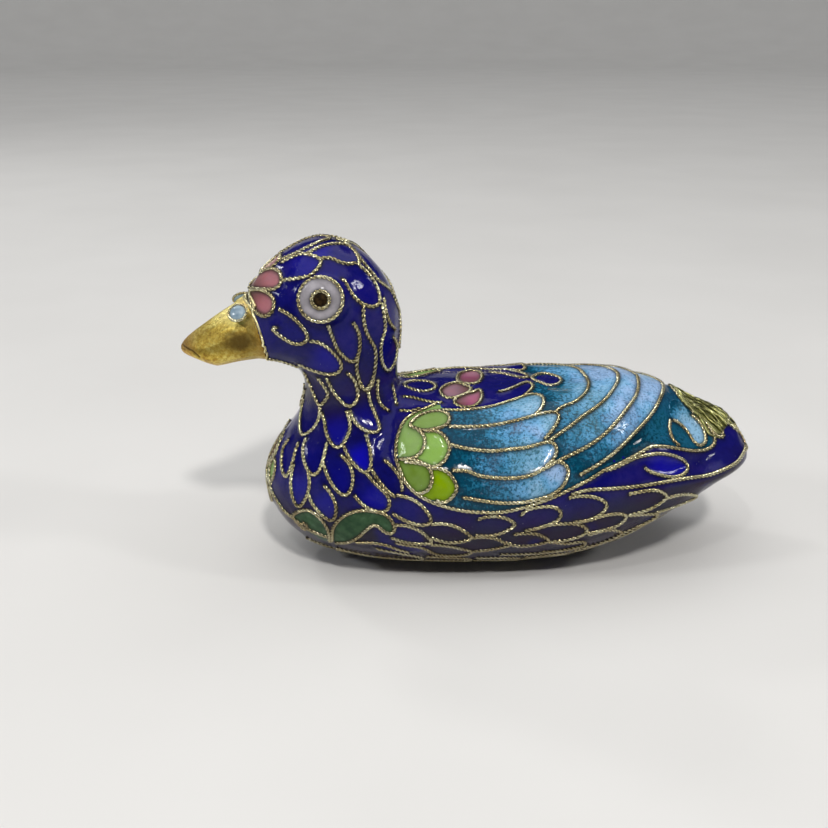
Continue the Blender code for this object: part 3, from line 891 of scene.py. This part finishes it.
def speckled(finish, stops, dark, pale, tints):
    """Opaque enamel whose colour changes along a feather and is made of ground grains."""
    along = finish.read("along")
    cloud = (finish.noise(0.45, 3.0) - 0.5) * 1.1
    specks = (finish.noise(2.5, 3.0, 0.7) + (0.45 - along) * 0.10).between(0.48, 0.59)
    share = (along * 1.05 + cloud).clamped() - specks * 0.50
    colour = finish.ramp(share.clamped(), stops)
    # Darker beside the wires: partly the enamel's dark fringe, partly painted shade under the raised wires.
    seam = finish.read("seam")
    colour = finish.mix((seam * 0.75).clamped(), colour, dark)
    shifted = finish.vectors("ADD", finish.spot, (31.0, 7.0, 3.0))
    tint = finish.ramp(finish.noise(0.17, 2.0, 0.5, shifted), tints)
    colour = finish.mix(along.between(0.20, 0.90) * 0.32, colour, tint)
    speck = finish.noise(3.4, 3.0, 0.65, shifted)
    colour = finish.mix((1.0 - speck.between(0.36, 0.46)) * 0.6, colour, dark)
    return finish.mix(speck.between(0.60, 0.70) * along.clamped() * 0.50, colour, pale)


def wing_blue():
    finish = Finish("wing_enamel", specular_ior_level=ENAMEL_SHINE)
    colour = speckled(finish, (
        (0.00, (0.002, 0.045, 0.085)), (0.22, (0.004, 0.090, 0.160)), (0.45, (0.024, 0.185, 0.340)),
        (0.66, (0.085, 0.300, 0.540)), (1.00, (0.250, 0.470, 0.730))),
        (0.002, 0.035, 0.060), (0.460, 0.580, 0.760), (
        (0.42, (0.230, 0.370, 0.360)), (0.50, (0.160, 0.360, 0.560)), (0.60, (0.400, 0.420, 0.620))))
    return enamel_gloss(finish, colour)


def hollow_blue():
    finish = Finish("teal_enamel", specular_ior_level=ENAMEL_SHINE)
    colour = speckled(finish, (
        (0.00, (0.002, 0.030, 0.055)), (0.35, (0.006, 0.070, 0.120)), (0.65, (0.010, 0.095, 0.180)),
        (1.00, (0.005, 0.040, 0.085))),
        (0.002, 0.020, 0.036), (0.030, 0.150, 0.230), (
        (0.42, (0.006, 0.090, 0.120)), (0.50, (0.004, 0.045, 0.090)), (0.60, (0.014, 0.080, 0.150))))
    return enamel_gloss(finish, colour)


def petal_green():
    finish = Finish("green_enamel", specular_ior_level=ENAMEL_SHINE)
    light = finish.read("light")
    drift = (finish.noise(0.7, 2.0) - 0.5) * 0.30
    colour = finish.ramp((light + drift).clamped(), (
        (0.00, (0.130, 0.220, 0.018)), (0.35, (0.210, 0.330, 0.100)), (0.65, (0.230, 0.400, 0.085)),
        (1.00, (0.205, 0.330, 0.001))))
    return enamel_gloss(finish, colour)


def leaf_green():
    finish = Finish("leaf_enamel", specular_ior_level=ENAMEL_SHINE)
    drift = finish.noise(0.9, 3.0)
    colour = finish.ramp(drift, (
        (0.30, (0.016, 0.052, 0.022)), (0.55, (0.034, 0.085, 0.036)), (0.75, (0.055, 0.120, 0.060))))
    return enamel_gloss(finish, colour, 0.06)


def petal_pink():
    finish = Finish("pink_enamel", specular_ior_level=ENAMEL_SHINE)
    along, light = finish.read("along"), finish.read("light")
    drift = (finish.noise(0.9, 2.0) - 0.5) * 0.4
    colour = finish.ramp((light + drift).clamped(), (
        (0.00, (0.235, 0.150, 0.200)), (0.45, (0.360, 0.130, 0.145)), (1.00, (0.285, 0.060, 0.155))))
    # Darker brown towards the root: partly the dark gilt between the thick wires there, partly painted shade
    # from those wires.
    colour = finish.mix((1.0 - along).between(0.35, 0.95) * 0.75, colour, (0.120, 0.060, 0.050))
    # Darker beside the wires: painted shade below the raised wires, with some dark stain.
    colour = finish.mix((finish.read("seam") * 2.0).clamped() * 0.70, colour, (0.110, 0.060, 0.055))
    colour = finish.mix(along.between(0.3, 1.1) * 0.25, colour, (0.450, 0.250, 0.280))
    return enamel_gloss(finish, colour)


def eye_white():
    finish = Finish("eye_enamel", specular_ior_level=ENAMEL_SHINE)
    drift = finish.noise(0.8, 2.0)
    colour = finish.ramp(drift, ((0.30, (0.260, 0.245, 0.265)), (0.70, (0.390, 0.370, 0.400))))
    return enamel_gloss(finish, colour)


def eye_dark():
    finish = Finish("pupil_enamel", specular_ior_level=ENAMEL_SHINE)
    colour = finish.ramp(finish.noise(2.0, 2.0), ((0.3, (0.008, 0.005, 0.003)), (0.7, (0.045, 0.026, 0.010))))
    return enamel_gloss(finish, colour)


def wire_gilt():
    finish = Finish("wire_gilt", metallic=1.0)
    tone = finish.noise(0.30, 2.0) * 0.5 + finish.noise(2.6, 3.0) * 0.5
    colour = finish.ramp(tone, (
        (0.32, (0.210, 0.160, 0.080)), (0.44, (0.410, 0.355, 0.200)), (0.56, (0.640, 0.600, 0.390)),
        (0.70, (0.930, 0.920, 0.740))))
    grime = finish.noise(5.0, 3.0, 0.7).between(0.52, 0.64)
    # Painted shade: the wires are darker low on the hull, where they face down, away from the light.
    height = finish.axis("Z")
    colour = finish.mix((1.0 - height.between(5.0, 13.0)) * 0.40, colour, (0.210, 0.150, 0.085))
    colour = finish.mix(grime * 0.78, colour, (0.045, 0.038, 0.024))
    roughness = 0.13 + finish.noise(3.0, 2.0) * 0.12 + grime * 0.15
    relief = finish.bump(finish.noise(7.0, 3.0), 0.00003, 0.5)
    return finish.paint(base_color=colour, roughness=roughness, normal=relief)


def bar_gilt():
    finish = Finish("bar_gilt", metallic=1.0)
    colour = finish.ramp(finish.noise(1.6, 3.0), (
        (0.35, (0.640, 0.540, 0.240)), (0.60, (1.000, 0.930, 0.560))))
    return finish.paint(base_color=colour, roughness=0.30 + finish.noise(3.0, 2.0) * 0.15)


def comb_gilt():
    finish = Finish("comb_gilt", metallic=1.0)
    tone = finish.noise(0.7, 3.0)
    colour = finish.ramp(tone, (
        (0.30, (0.120, 0.120, 0.040)), (0.50, (0.300, 0.300, 0.110)), (0.70, (0.520, 0.520, 0.260))))
    grime = finish.noise(4.0, 3.0, 0.7).between(0.50, 0.66)
    colour = finish.mix(grime * 0.7, colour, (0.045, 0.045, 0.024))
    relief = finish.bump(finish.noise(6.0, 3.0), 0.00004, 0.5)
    return finish.paint(base_color=colour, roughness=0.30 + grime * 0.2, normal=relief)


def beak_gilt(stain_at):
    finish = Finish("beak_gilt", metallic=1.0)
    place = tuple(1000.0 * c for c in stain_at)
    folded = finish.vectors("ABSOLUTE", finish.spot)
    offset = finish.vectors("SUBTRACT", folded, (abs(place[0]), abs(place[1]), place[2]))
    reach = finish.vectors("MULTIPLY", offset, (0.40, 0.3, 0.62))
    away = finish.node("ShaderNodeVectorMath", {"operation": "LENGTH"}, {0: reach}, "Value")
    ragged = away + (finish.noise(1.4, 3.0) - 0.5) * 0.9
    stain = 1.0 - ragged.between(0.35, 1.15)
    tone = finish.noise(0.5, 2.0) * 0.45 + finish.noise(2.6, 3.0, 0.65) * 0.55
    colour = finish.ramp(tone, (
        (0.36, (0.330, 0.200, 0.030)), (0.48, (0.640, 0.470, 0.080)), (0.60, (0.920, 0.800, 0.230))))
    height = finish.axis("Z")
    # The colour changes with height: more orange low down, then a band of painted shade along the middle of
    # the side and a painted highlight on the top, as if lit from above.
    colour = finish.mix((1.0 - height.between(26.5, 29.5)) * 0.60, colour, (0.520, 0.260, 0.065))
    painted_shade_band = height.between(28.6, 29.8) * (1.0 - height.between(31.5, 32.9))
    colour = finish.mix(painted_shade_band * 0.62, colour, (0.250, 0.170, 0.036))
    colour = finish.mix(height.between(32.0, 34.0) * 0.60, colour, (1.000, 0.920, 0.380))
    colour = finish.mix((1.0 - finish.axis("X").between(-36.8, -34.6)) * 0.45, colour, (0.640, 0.330, 0.110))
    colour = finish.mix(finish.read("rear") * 0.80, colour, (0.300, 0.165, 0.028))
    colour = finish.mix(stain * 0.82, colour, (0.100, 0.062, 0.018))
    colour = finish.mix(finish.read("seam") * 0.90, colour, (0.050, 0.022, 0.008))
    spots = finish.noise(4.5, 3.0, 0.65).between(0.58, 0.68)
    colour = finish.mix(spots * 0.50, colour, (0.150, 0.095, 0.030))
    roughness = 0.28 + finish.noise(1.5, 3.0) * 0.22 + stain * 0.15 + spots * 0.12 + painted_shade_band * 0.10
    dents = finish.noise(0.8, 2.0, 0.5) * 0.7 + finish.noise(3.2, 3.0, 0.6) * 0.75
    relief = finish.bump(dents, 0.00012, 0.7)
    return finish.paint(base_color=colour, roughness=roughness, normal=relief)


def nostril_blue():
    finish = Finish("nostril_enamel")
    colour = finish.ramp(finish.noise(1.0, 2.0), ((0.3, (0.160, 0.240, 0.310)), (0.7, (0.330, 0.430, 0.500))))
    relief = finish.bump(finish.noise(1.5, 2.0), 0.00006, 0.5)
    return finish.paint(base_color=colour, roughness=0.08, normal=relief)


def floor_finish():
    finish = Finish("floor_paper", roughness=0.85, specular_ior_level=0.2)
    colour = finish.ramp(finish.noise(0.02, 3.0), ((0.3, (0.66, 0.65, 0.63)), (0.7, (0.69, 0.68, 0.66))))
    return finish.paint(base_color=colour)


def under_feathers():
    """Rows of feathers on the underside, as lines in (x, y) mm, for one side and for the middle."""
    length = UNDER_FEATHER_MM
    lines, middle = [], []
    for aside, half, start, end in UNDER_ROWS_MM:
        for x in np.arange(start, end - 0.9 * length, length):
            shape = [(x + share * length, side * half - aside) for share, side in FEATHER_OUTLINE]
            (lines if aside else middle).append(shape)
    return lines, middle


def front_flower():
    """Petals of the breast's flower, as closed lines in (y, z) mm."""
    length, half = FLOWER_PETAL_MM
    petals = []
    for turn in (90, 18, -54, 162, 234):
        a = math.radians(turn)
        shape = []
        for out, side in ((0.06, 0.0), (0.30, 0.62), (0.62, 1.0), (0.90, 0.70), (1.0, 0.0), (0.90, -0.70),
                          (0.62, -1.0), (0.30, -0.62), (0.06, 0.0)):
            run, aside = out * length, side * half
            shape.append((run * math.cos(a) - aside * math.sin(a),
                          FLOWER_HEIGHT_MM + run * math.sin(a) + aside * math.cos(a)))
        petals.append(shape)
    return petals


def paint_cells(enamel, sight, finishes, petals):
    """Gives each face of the enamel its finish, and each corner how far along its cell it is."""
    mesh = enamel.data
    order = list(finishes)
    for finish in finishes.values():
        mesh.materials.append(finish)
    centres, facing = triples(mesh.polygons, "center"), triples(mesh.polygons, "normal")
    slots = np.zeros(len(mesh.polygons), np.int32)
    places, normals = corners(enamel), corner_normals(enamel)
    along, light = np.zeros(len(places)), np.zeros(len(places))

    def seen(points, outwards, view):
        if view == "above":
            return np.where(outwards[:, 2:] > 0.2, points[:, :2] / MM, -99.0)
        far = points[:, 1] > 0.0
        if view != "frame":
            turned = np.where(far[:, None], (1.0, -1.0, 1.0), 1.0)
            points, outwards = points * turned, outwards * turned
        hidden = ((sight.place - points) * outwards).sum(1) <= 0.0
        if view == "far":
            hidden |= ~far
        spots = sight.pixels(points)
        spots[hidden] = -99.0
        return spots

    views = ("both", "frame", "far", "above")
    face_spots = {view: seen(centres, facing, view) for view in views}
    corner_spots = {view: seen(places, normals, view) for view in views}
    for finish, outline, lightness, root, tip, view in CELLS:
        slots[within(outline, face_spots[view])] = order.index(finish)
        chosen = within(outline, corner_spots[view])
        run = np.subtract(tip, root)
        along[chosen] = ((corner_spots[view][chosen] - root) @ run) / (run @ run)
        light[chosen] = lightness
    blues = {**HEAD_WIRES, **BREAST_WIRES, **TAIL_WIRES}
    feathered = np.zeros(len(places))
    for name, clearness in FEATHER_CLEARNESS.items():
        outline = np.array(blues[name])
        root = (outline[0] + outline[-1]) / 2
        tip = outline[np.linalg.norm(outline - root, axis=1).argmax()]
        chosen = within(blues[name], corner_spots["both"])
        run = tip - root
        share = np.clip(((corner_spots["both"][chosen] - root) @ run) / (run @ run), 0.0, 1.0)
        rise = np.clip(share / 0.5, 0.0, 1.0)
        light[chosen] = clearness * rise * rise * (3.0 - 2.0 * rise)
        feathered[chosen] = np.clip(share / 0.25, 0.0, 1.0)
    ahead = (facing[:, 0] < -0.3) & (centres[:, 2] < 0.022)
    corner_ahead = (normals[:, 0] < -0.3) & (places[:, 2] < 0.022)
    for number, petal in enumerate(petals):
        chosen = within(petal, np.where(ahead[:, None], centres[:, 1:] / MM, -99.0))
        slots[chosen] = order.index("petal_green" if number in (1, 3) else "petal_pink")
        inside = within(petal, np.where(corner_ahead[:, None], places[:, 1:] / MM, -99.0))
        light[inside] = 0.3
    mesh.polygons.foreach_set("material_index", slots)
    return along, light, feathered


def build_enamel(frame):
    enamel = copy_of(frame["nodes"]["duck_body"], "enamel")
    apply_modifier(enamel, "REMESH", mode="VOXEL", voxel_size=ENAMEL_VOXEL * 1.0)
    apply_modifier(enamel, "SMOOTH", factor=0.5, iterations=18)
    return enamel


def skin_of(*pieces):
    places, faces = [], []
    for piece in pieces:
        first = len(places)
        piece.data.calc_loop_triangles()
        places += [v.co.copy() for v in piece.data.vertices]
        faces += [tuple(first + v for v in t.vertices) for t in piece.data.loop_triangles]
    return BVHTree.FromPolygons(places, faces)


def parts_of(run, chosen):
    """The parts of a line whose points are chosen."""
    breaks = np.flatnonzero(np.diff(chosen.astype(int))) + 1
    parts = [part for part, kept in zip(np.split(run, breaks), np.split(chosen, breaks)) if kept[0]]
    return [part for part in parts if np.linalg.norm(np.diff(part, axis=0), axis=1).sum() > SHORTEST_WIRE]


def to_middle(part):
    """Carries a line on the back that stops just short of the middle on to it."""
    short = (part[:, 0] > 0.005) & (part[:, 1] > -0.0006)
    before = [part[0] * (1.0, 0.0, 1.0)] if short[0] else []
    behind = [part[-1] * (1.0, 0.0, 1.0)] if short[-1] else []
    return np.vstack(before + [part] + behind)


def both_sides(skin, wires, ray, step=1.0):
    lines = []
    for points in wires:
        for run in lay_on(skin, points, ray, step):
            for part in map(to_middle, parts_of(run, run[:, 1] < -0.00008)):
                far = mirrored(part)
                lines.append(part)
                lines += parts_of(far, ~within(ABOVE_WIRES["far_petal"], far[:, :2] / MM))
    return lines


def one_side(skin, wires, ray, step=1.0):
    return [run for points in wires for run in lay_on(skin, points, ray, step)]


def comb_lines():
    """The fan's wires, spread unevenly between its top and its low one, with ragged ends."""
    top, low = np.array(COMB_TOP, float), np.array(COMB_LOW, float)
    lines = []
    for k in range(COMB_WIRES):
        share = (k + 0.35 * math.sin(2.4 * k)) / (COMB_WIRES - 1)
        line = top + (low - top) * share
        inner = np.arange(len(line) - 2)
        line[1:-1] += 1.5 * np.stack([np.sin(1.9 * k + inner), np.cos(2.7 * k + 2.0 * inner)], axis=1)
        short = 0.55 * math.sin(math.pi * min(max(share, 0.0), 1.0)) + 0.35 * math.sin(3.1 * k)
        line[-1] -= (line[-1] - line[-2]) * short
        lines.append(line)
    return lines


def duskiness(places, normals):
    """How grey the ground looks: most on the hull and the neck, least on the back and the crown. This is
    partly the enamel's own grey and partly a painted reflection of the pale floor, as the steep term greys
    the faces that turn from the sky.
    """
    x, _, z = (places / MM).T
    low = np.clip((13.0 + np.clip(0.30 * (x - 8.0), 0.0, 6.0) - z) / 5.0, 0.0, 1.0)
    neck = np.clip(1.3 - np.abs(z - 23.5) / 5.0, 0.0, 1.0) * np.clip((-4.0 - x) / 3.0, 0.0, 1.0)
    steep = np.clip(1.0 - normals[:, 2], 0.0, 1.0)
    return np.clip(np.maximum(0.95 * low, 0.85 * neck) * steep + 0.06, 0.0, 1.0)


def raise_enamel(enamel, middles):
    """Lifts the enamel towards each wire, as it climbs when it is fired, and sinks it in between."""
    places, normals = corners(enamel), corner_normals(enamel)
    away = nearest(middles, places)
    climb = np.exp(-np.maximum(away - 0.0001, 0.0) / ENAMEL_CLIMB)
    places += normals * (ENAMEL_RISE * climb - ENAMEL_SINK)[:, None]
    places[:, 2] = np.maximum(places[:, 2], 0.0)
    place_corners(enamel, places)
    set_values(enamel, "seam", np.exp(-((away / SEAM_REACH) ** 2)))


def lap_over(beak, skin):
    """Draws the sheet's rear edge back over the face, furthest at the sides, and gives that edge's line."""
    places, normals = corners(beak), corner_normals(beak)
    from_seat = places @ SEAT_AHEAD
    from_seat -= from_seat.min()
    rim = places[from_seat < 0.0003]
    middle = (rim.min(0) + rim.max(0)) / 2
    sideways = np.array((0.0, 1.0, 0.0))
    upwards = np.cross(sideways, SEAT_AHEAD)

    def polar(points):
        aside = points - middle
        return np.arctan2(aside @ upwards, aside @ sideways), np.hypot(aside @ upwards, aside @ sideways)

    rim_turn, rim_reach = polar(rim)
    turns = np.linspace(-math.pi, math.pi, 73)
    own, back, spread, edge = [], [], [], []
    for turn in turns:
        outward = math.cos(turn) * sideways + math.sin(turn) * upwards
        near = np.cos(rim_turn - turn) > math.cos(math.radians(6))
        own.append(rim_reach[near].max())
        back.append(LAP_TOP + LAP_SIDES * math.cos(turn) ** 2)
        start = middle - SEAT_AHEAD * back[-1] + outward * (own[-1] + 0.0030)
        hit = skin.ray_cast(Vector(start), Vector(-outward))[0]
        gap = float((np.array(hit) - middle) @ outward) + LAP_STAND - own[-1] if hit else 0.0
        spread.append(max(0.0, gap))
        edge.append(middle - SEAT_AHEAD * back[-1] + outward * (own[-1] + spread[-1]))
    turn, _ = polar(places)
    outer = np.clip(1.0 - (normals @ -SEAT_AHEAD - 0.60) / 0.30, 0.0, 1.0)
    outward = np.cos(turn)[:, None] * sideways + np.sin(turn)[:, None] * upwards

    def share(length):
        part = np.clip(1.0 - from_seat / length, 0.0, 1.0)
        return part * part * (3.0 - 2.0 * part) * outer

    sideward = outward * (np.interp(turn, turns, spread) * share(0.0014))[:, None]
    rearward = SEAT_AHEAD * (np.interp(turn, turns, back) * share(0.0022))[:, None]
    place_corners(beak, places + sideward - rearward)
    return np.array(edge)


def build_beak(frame, sight, enamel, wire):
    beak = copy_of(frame["nodes"]["beak"], "beak_sheet")
    apply_modifier(beak, "REMESH", mode="VOXEL", voxel_size=BEAK_VOXEL)
    apply_modifier(beak, "SMOOTH", factor=0.5, iterations=5)
    skin = skin_of(beak)
    places, normals = corners(beak), corner_normals(beak)
    away = nearest(both_sides(skin, [MOUTH_SEAM], sight.ray), places)
    places -= normals * (MOUTH_DEPTH * np.exp(-((away / MOUTH_REACH) ** 2)))[:, None]
    place_corners(beak, places)
    set_values(beak, "seam", np.exp(-((away / MOUTH_SHADE) ** 2)))
    from_seat = places @ SEAT_AHEAD
    set_values(beak, "rear", np.exp(-(from_seat - from_seat.min()) / REAR_REACH))
    edge = lap_over(beak, skin_of(enamel))
    apply_modifier(beak, "SMOOTH", factor=0.5, iterations=2)
    lapped = skin_of(beak, enamel)
    select_only(beak)
    bpy.ops.object.shade_smooth()
    stain = lay_on(skin, [BEAK_STAIN_PIXEL, np.add(BEAK_STAIN_PIXEL, 4.0)], sight.ray)[0][0]
    tidy_piece(beak, beak_gilt(stain))
    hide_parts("beak")
    bright = bar_gilt()
    data = strand_curve("brow_bars", BAR_RADIUS)
    for ends in BROW_BARS:
        hits = []
        for pixel in ends:
            start, along = sight.ray(pixel)
            hits.append(np.array(lapped.ray_cast(start, along)[0] - along * BAR_LIFT))
        bar = np.linspace(*hits, 9)
        add_strand(data, bar)
        add_strand(data, mirrored(bar))
    tidy_piece(make_mesh_piece("brow_bars", data), bright)
    plain_wires("seat_wire", [edge], lapped, SEAT_WIRE_RADIUS, bright, SEAT_WIRE_LIFT)
    start, along = sight.ray(NOSTRIL_PIXEL)
    build_nostrils(skin.ray_cast(start, along)[0], wire)


def build_nostrils(seat, wire):
    """A bead of enamel in a twisted rim on each side of the beak."""
    glass = nostril_blue()
    for side, turn in (("near", 1.0), ("far", -1.0)):
        outward = Vector((NOSTRIL_FACING[0], NOSTRIL_FACING[1] * turn, NOSTRIL_FACING[2])).normalized()
        centre = Vector((seat.x, seat.y * turn, seat.z)) + outward * NOSTRIL_LIFT
        bpy.ops.object.select_all(action="DESELECT")
        facing = outward.to_track_quat("Z", "Y")
        bpy.ops.mesh.primitive_uv_sphere_add(
            segments=32, ring_count=16, radius=NOSTRIL_RADIUS, location=centre, rotation=facing.to_euler())
        bead = bpy.context.object
        bead.name = f"nostril_{side}"
        bead.scale = (1.0, 1.0, 0.5)
        bpy.ops.object.transform_apply(location=True, rotation=True, scale=True)
        bpy.ops.object.shade_smooth()
        tidy_piece(bead, glass)
        data = strand_curve(f"nostril_rim_{side}", RIM_RADIUS)
        turns = np.linspace(0.0, 2 * math.pi, 60, endpoint=False)
        across, up = facing @ Vector((1.0, 0.0, 0.0)), facing @ Vector((0.0, 1.0, 0.0))
        out = np.cos(turns)[:, None] * np.array(across) + np.sin(turns)[:, None] * np.array(up)
        for phase in (0.0, math.pi):
            swing = RIM_TWISTS * turns + phase
            reach = NOSTRIL_RADIUS + 0.00004 + RIM_SWING * np.cos(swing)
            height = 0.00016 + RIM_SWING * np.sin(swing)
            add_strand(data, np.array(centre) + out * reach[:, None] + np.array(outward) * height[:, None])
            data.splines[-1].use_cyclic_u = True
        tidy_piece(make_mesh_piece(f"nostril_rim_{side}", data), wire)


def light(name, place, aim, size, watts, colour=(1.0, 1.0, 1.0)):
    data = bpy.data.lights.new(name, "AREA")
    data.shape = "RECTANGLE"
    data.size, data.size_y = size
    data.energy = watts
    data.color = colour
    lamp = bpy.data.objects.new(name, data)
    lamp.location = place
    lamp.rotation_mode = "QUATERNION"
    lamp.rotation_quaternion = (Vector(aim) - Vector(place)).to_track_quat("-Z", "Y")
    bpy.context.scene.collection.objects.link(lamp)


def build_stage(sight):
    bpy.ops.object.select_all(action="DESELECT")
    bpy.ops.mesh.primitive_circle_add(
        vertices=96, radius=FLOOR_RADIUS, fill_type="NGON", location=(0.0, 0.0, -FLOOR_GAP))
    floor = bpy.context.object
    floor.name = "floor"
    bpy.ops.object.transform_apply(location=True)
    bpy.ops.object.mode_set(mode="EDIT")
    bpy.ops.mesh.select_all(action="SELECT")
    bpy.ops.mesh.region_to_loop()
    for rise in (0.01, 0.02, 0.04, 0.07, 0.11, 0.16):
        bpy.ops.mesh.extrude_edges_move(TRANSFORM_OT_translate={"value": (0.0, 0.0, rise)})
        bpy.ops.transform.resize(value=(1.06, 1.06, 1.0))
    bpy.ops.object.mode_set(mode="OBJECT")
    bpy.ops.object.shade_smooth_by_angle(angle=math.radians(30))
    floor.data.materials.append(floor_finish())

    data = bpy.data.cameras.new("camera")
    data.sensor_width = 36.0
    data.lens = 36.0 * FOCAL_PIXELS / FRAME_PIXELS
    data.clip_start, data.clip_end = 0.01, 20.0
    camera = bpy.data.objects.new("camera", data)
    camera.location = sight.place
    camera.rotation_mode = "QUATERNION"
    camera.rotation_quaternion = Vector(sight.ahead).to_track_quat("-Z", "Y")
    bpy.context.scene.collection.objects.link(camera)
    bpy.context.scene.camera = camera

    world = bpy.data.worlds.new("studio")
    world.use_nodes = True
    world.node_tree.nodes["Background"].inputs["Color"].default_value = (0.80, 0.85, 0.95, 1.0)
    world.node_tree.nodes["Background"].inputs["Strength"].default_value = 0.05
    bpy.context.scene.world = world
    middle = (0.0, 0.0, 0.015)
    light("ceiling", (0.0, 0.3, 2.0), (0.0, 0.3, 0.0), (3.0, 3.0), 34.0)
    light("key", (0.03, -0.36, 0.46), middle, (0.05, 0.05), 1.5, (1.0, 0.98, 0.96))
    light("left", (-0.42, -0.12, 0.30), middle, (0.06, 0.06), 0.45, (0.96, 0.98, 1.0))
    light("right", (0.42, -0.14, 0.32), middle, (0.05, 0.05), 0.40)
    light("behind", (-0.30, 0.34, 0.34), middle, (0.06, 0.06), 0.35)
    light("spark", (-0.16, -0.28, 0.50), middle, (0.02, 0.02), 0.25)
    bpy.context.scene.view_settings.view_transform = "Standard"


def main():
    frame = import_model()
    sight = Sight()
    enamel = build_enamel(frame)
    skin = skin_of(enamel)
    gilt = wire_gilt()
    petals = front_flower()
    under, under_middle = under_feathers()

    groups = {
        "wires_head": both_sides(skin, HEAD_WIRES.values(), sight.ray),
        "wires_breast": both_sides(skin, BREAST_WIRES.values(), sight.ray)
        + one_side(skin, petals, front_ray, 0.2),
        "wires_wings": both_sides(skin, WING_WIRES.values(), sight.ray),
        "wires_back": one_side(skin, BACK_WIRES.values(), sight.ray, 0.6)
        + one_side(skin, ABOVE_WIRES.values(), above_ray, 0.2)
        + both_sides(skin, SHOULDER_WIRES.values(), sight.ray, 0.6),
        "wires_tail": both_sides(skin, TAIL_WIRES.values(), sight.ray)
        + one_side(skin, [TAIL_END], behind_ray, 0.2) + one_side(skin, [FAN_EDGE], above_ray, 0.2),
        "wires_hull": both_sides(skin, HULL_WIRES.values(), sight.ray),
        "wires_under": both_sides(skin, under, under_ray, 0.2) + one_side(skin, under_middle, under_ray, 0.2),
    }
    middles = []
    for name, lines in groups.items():
        middles += twisted_wires(name, lines, skin, gilt)
    comb = comb_gilt()
    fan = both_sides(skin, comb_lines(), sight.ray)
    middles += plain_wires("tail_comb", fan, skin, COMB_RADIUS, comb, COMB_LIFT)

    finishes = {
        "ground": ground_blue(), "wing_blue": wing_blue(), "hollow_blue": hollow_blue(),
        "petal_green": petal_green(), "leaf_green": leaf_green(), "petal_pink": petal_pink(),
        "eye_white": eye_white(), "eye_dark": eye_dark(), "comb_gilt": comb,
    }
    along, lightness, feathered = paint_cells(enamel, sight, finishes, petals)
    set_values(enamel, "along", along)
    set_values(enamel, "light", lightness)
    places = corners(enamel)
    set_values(enamel, "dusk", duskiness(places, corner_normals(enamel)) * (1.0 - 0.45 * feathered))
    raise_enamel(enamel, middles)
    select_only(enamel)
    bpy.ops.object.shade_smooth()
    tidy_piece(enamel)
    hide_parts("duck_body")

    build_beak(frame, sight, enamel, gilt)
    build_stage(sight)


main()
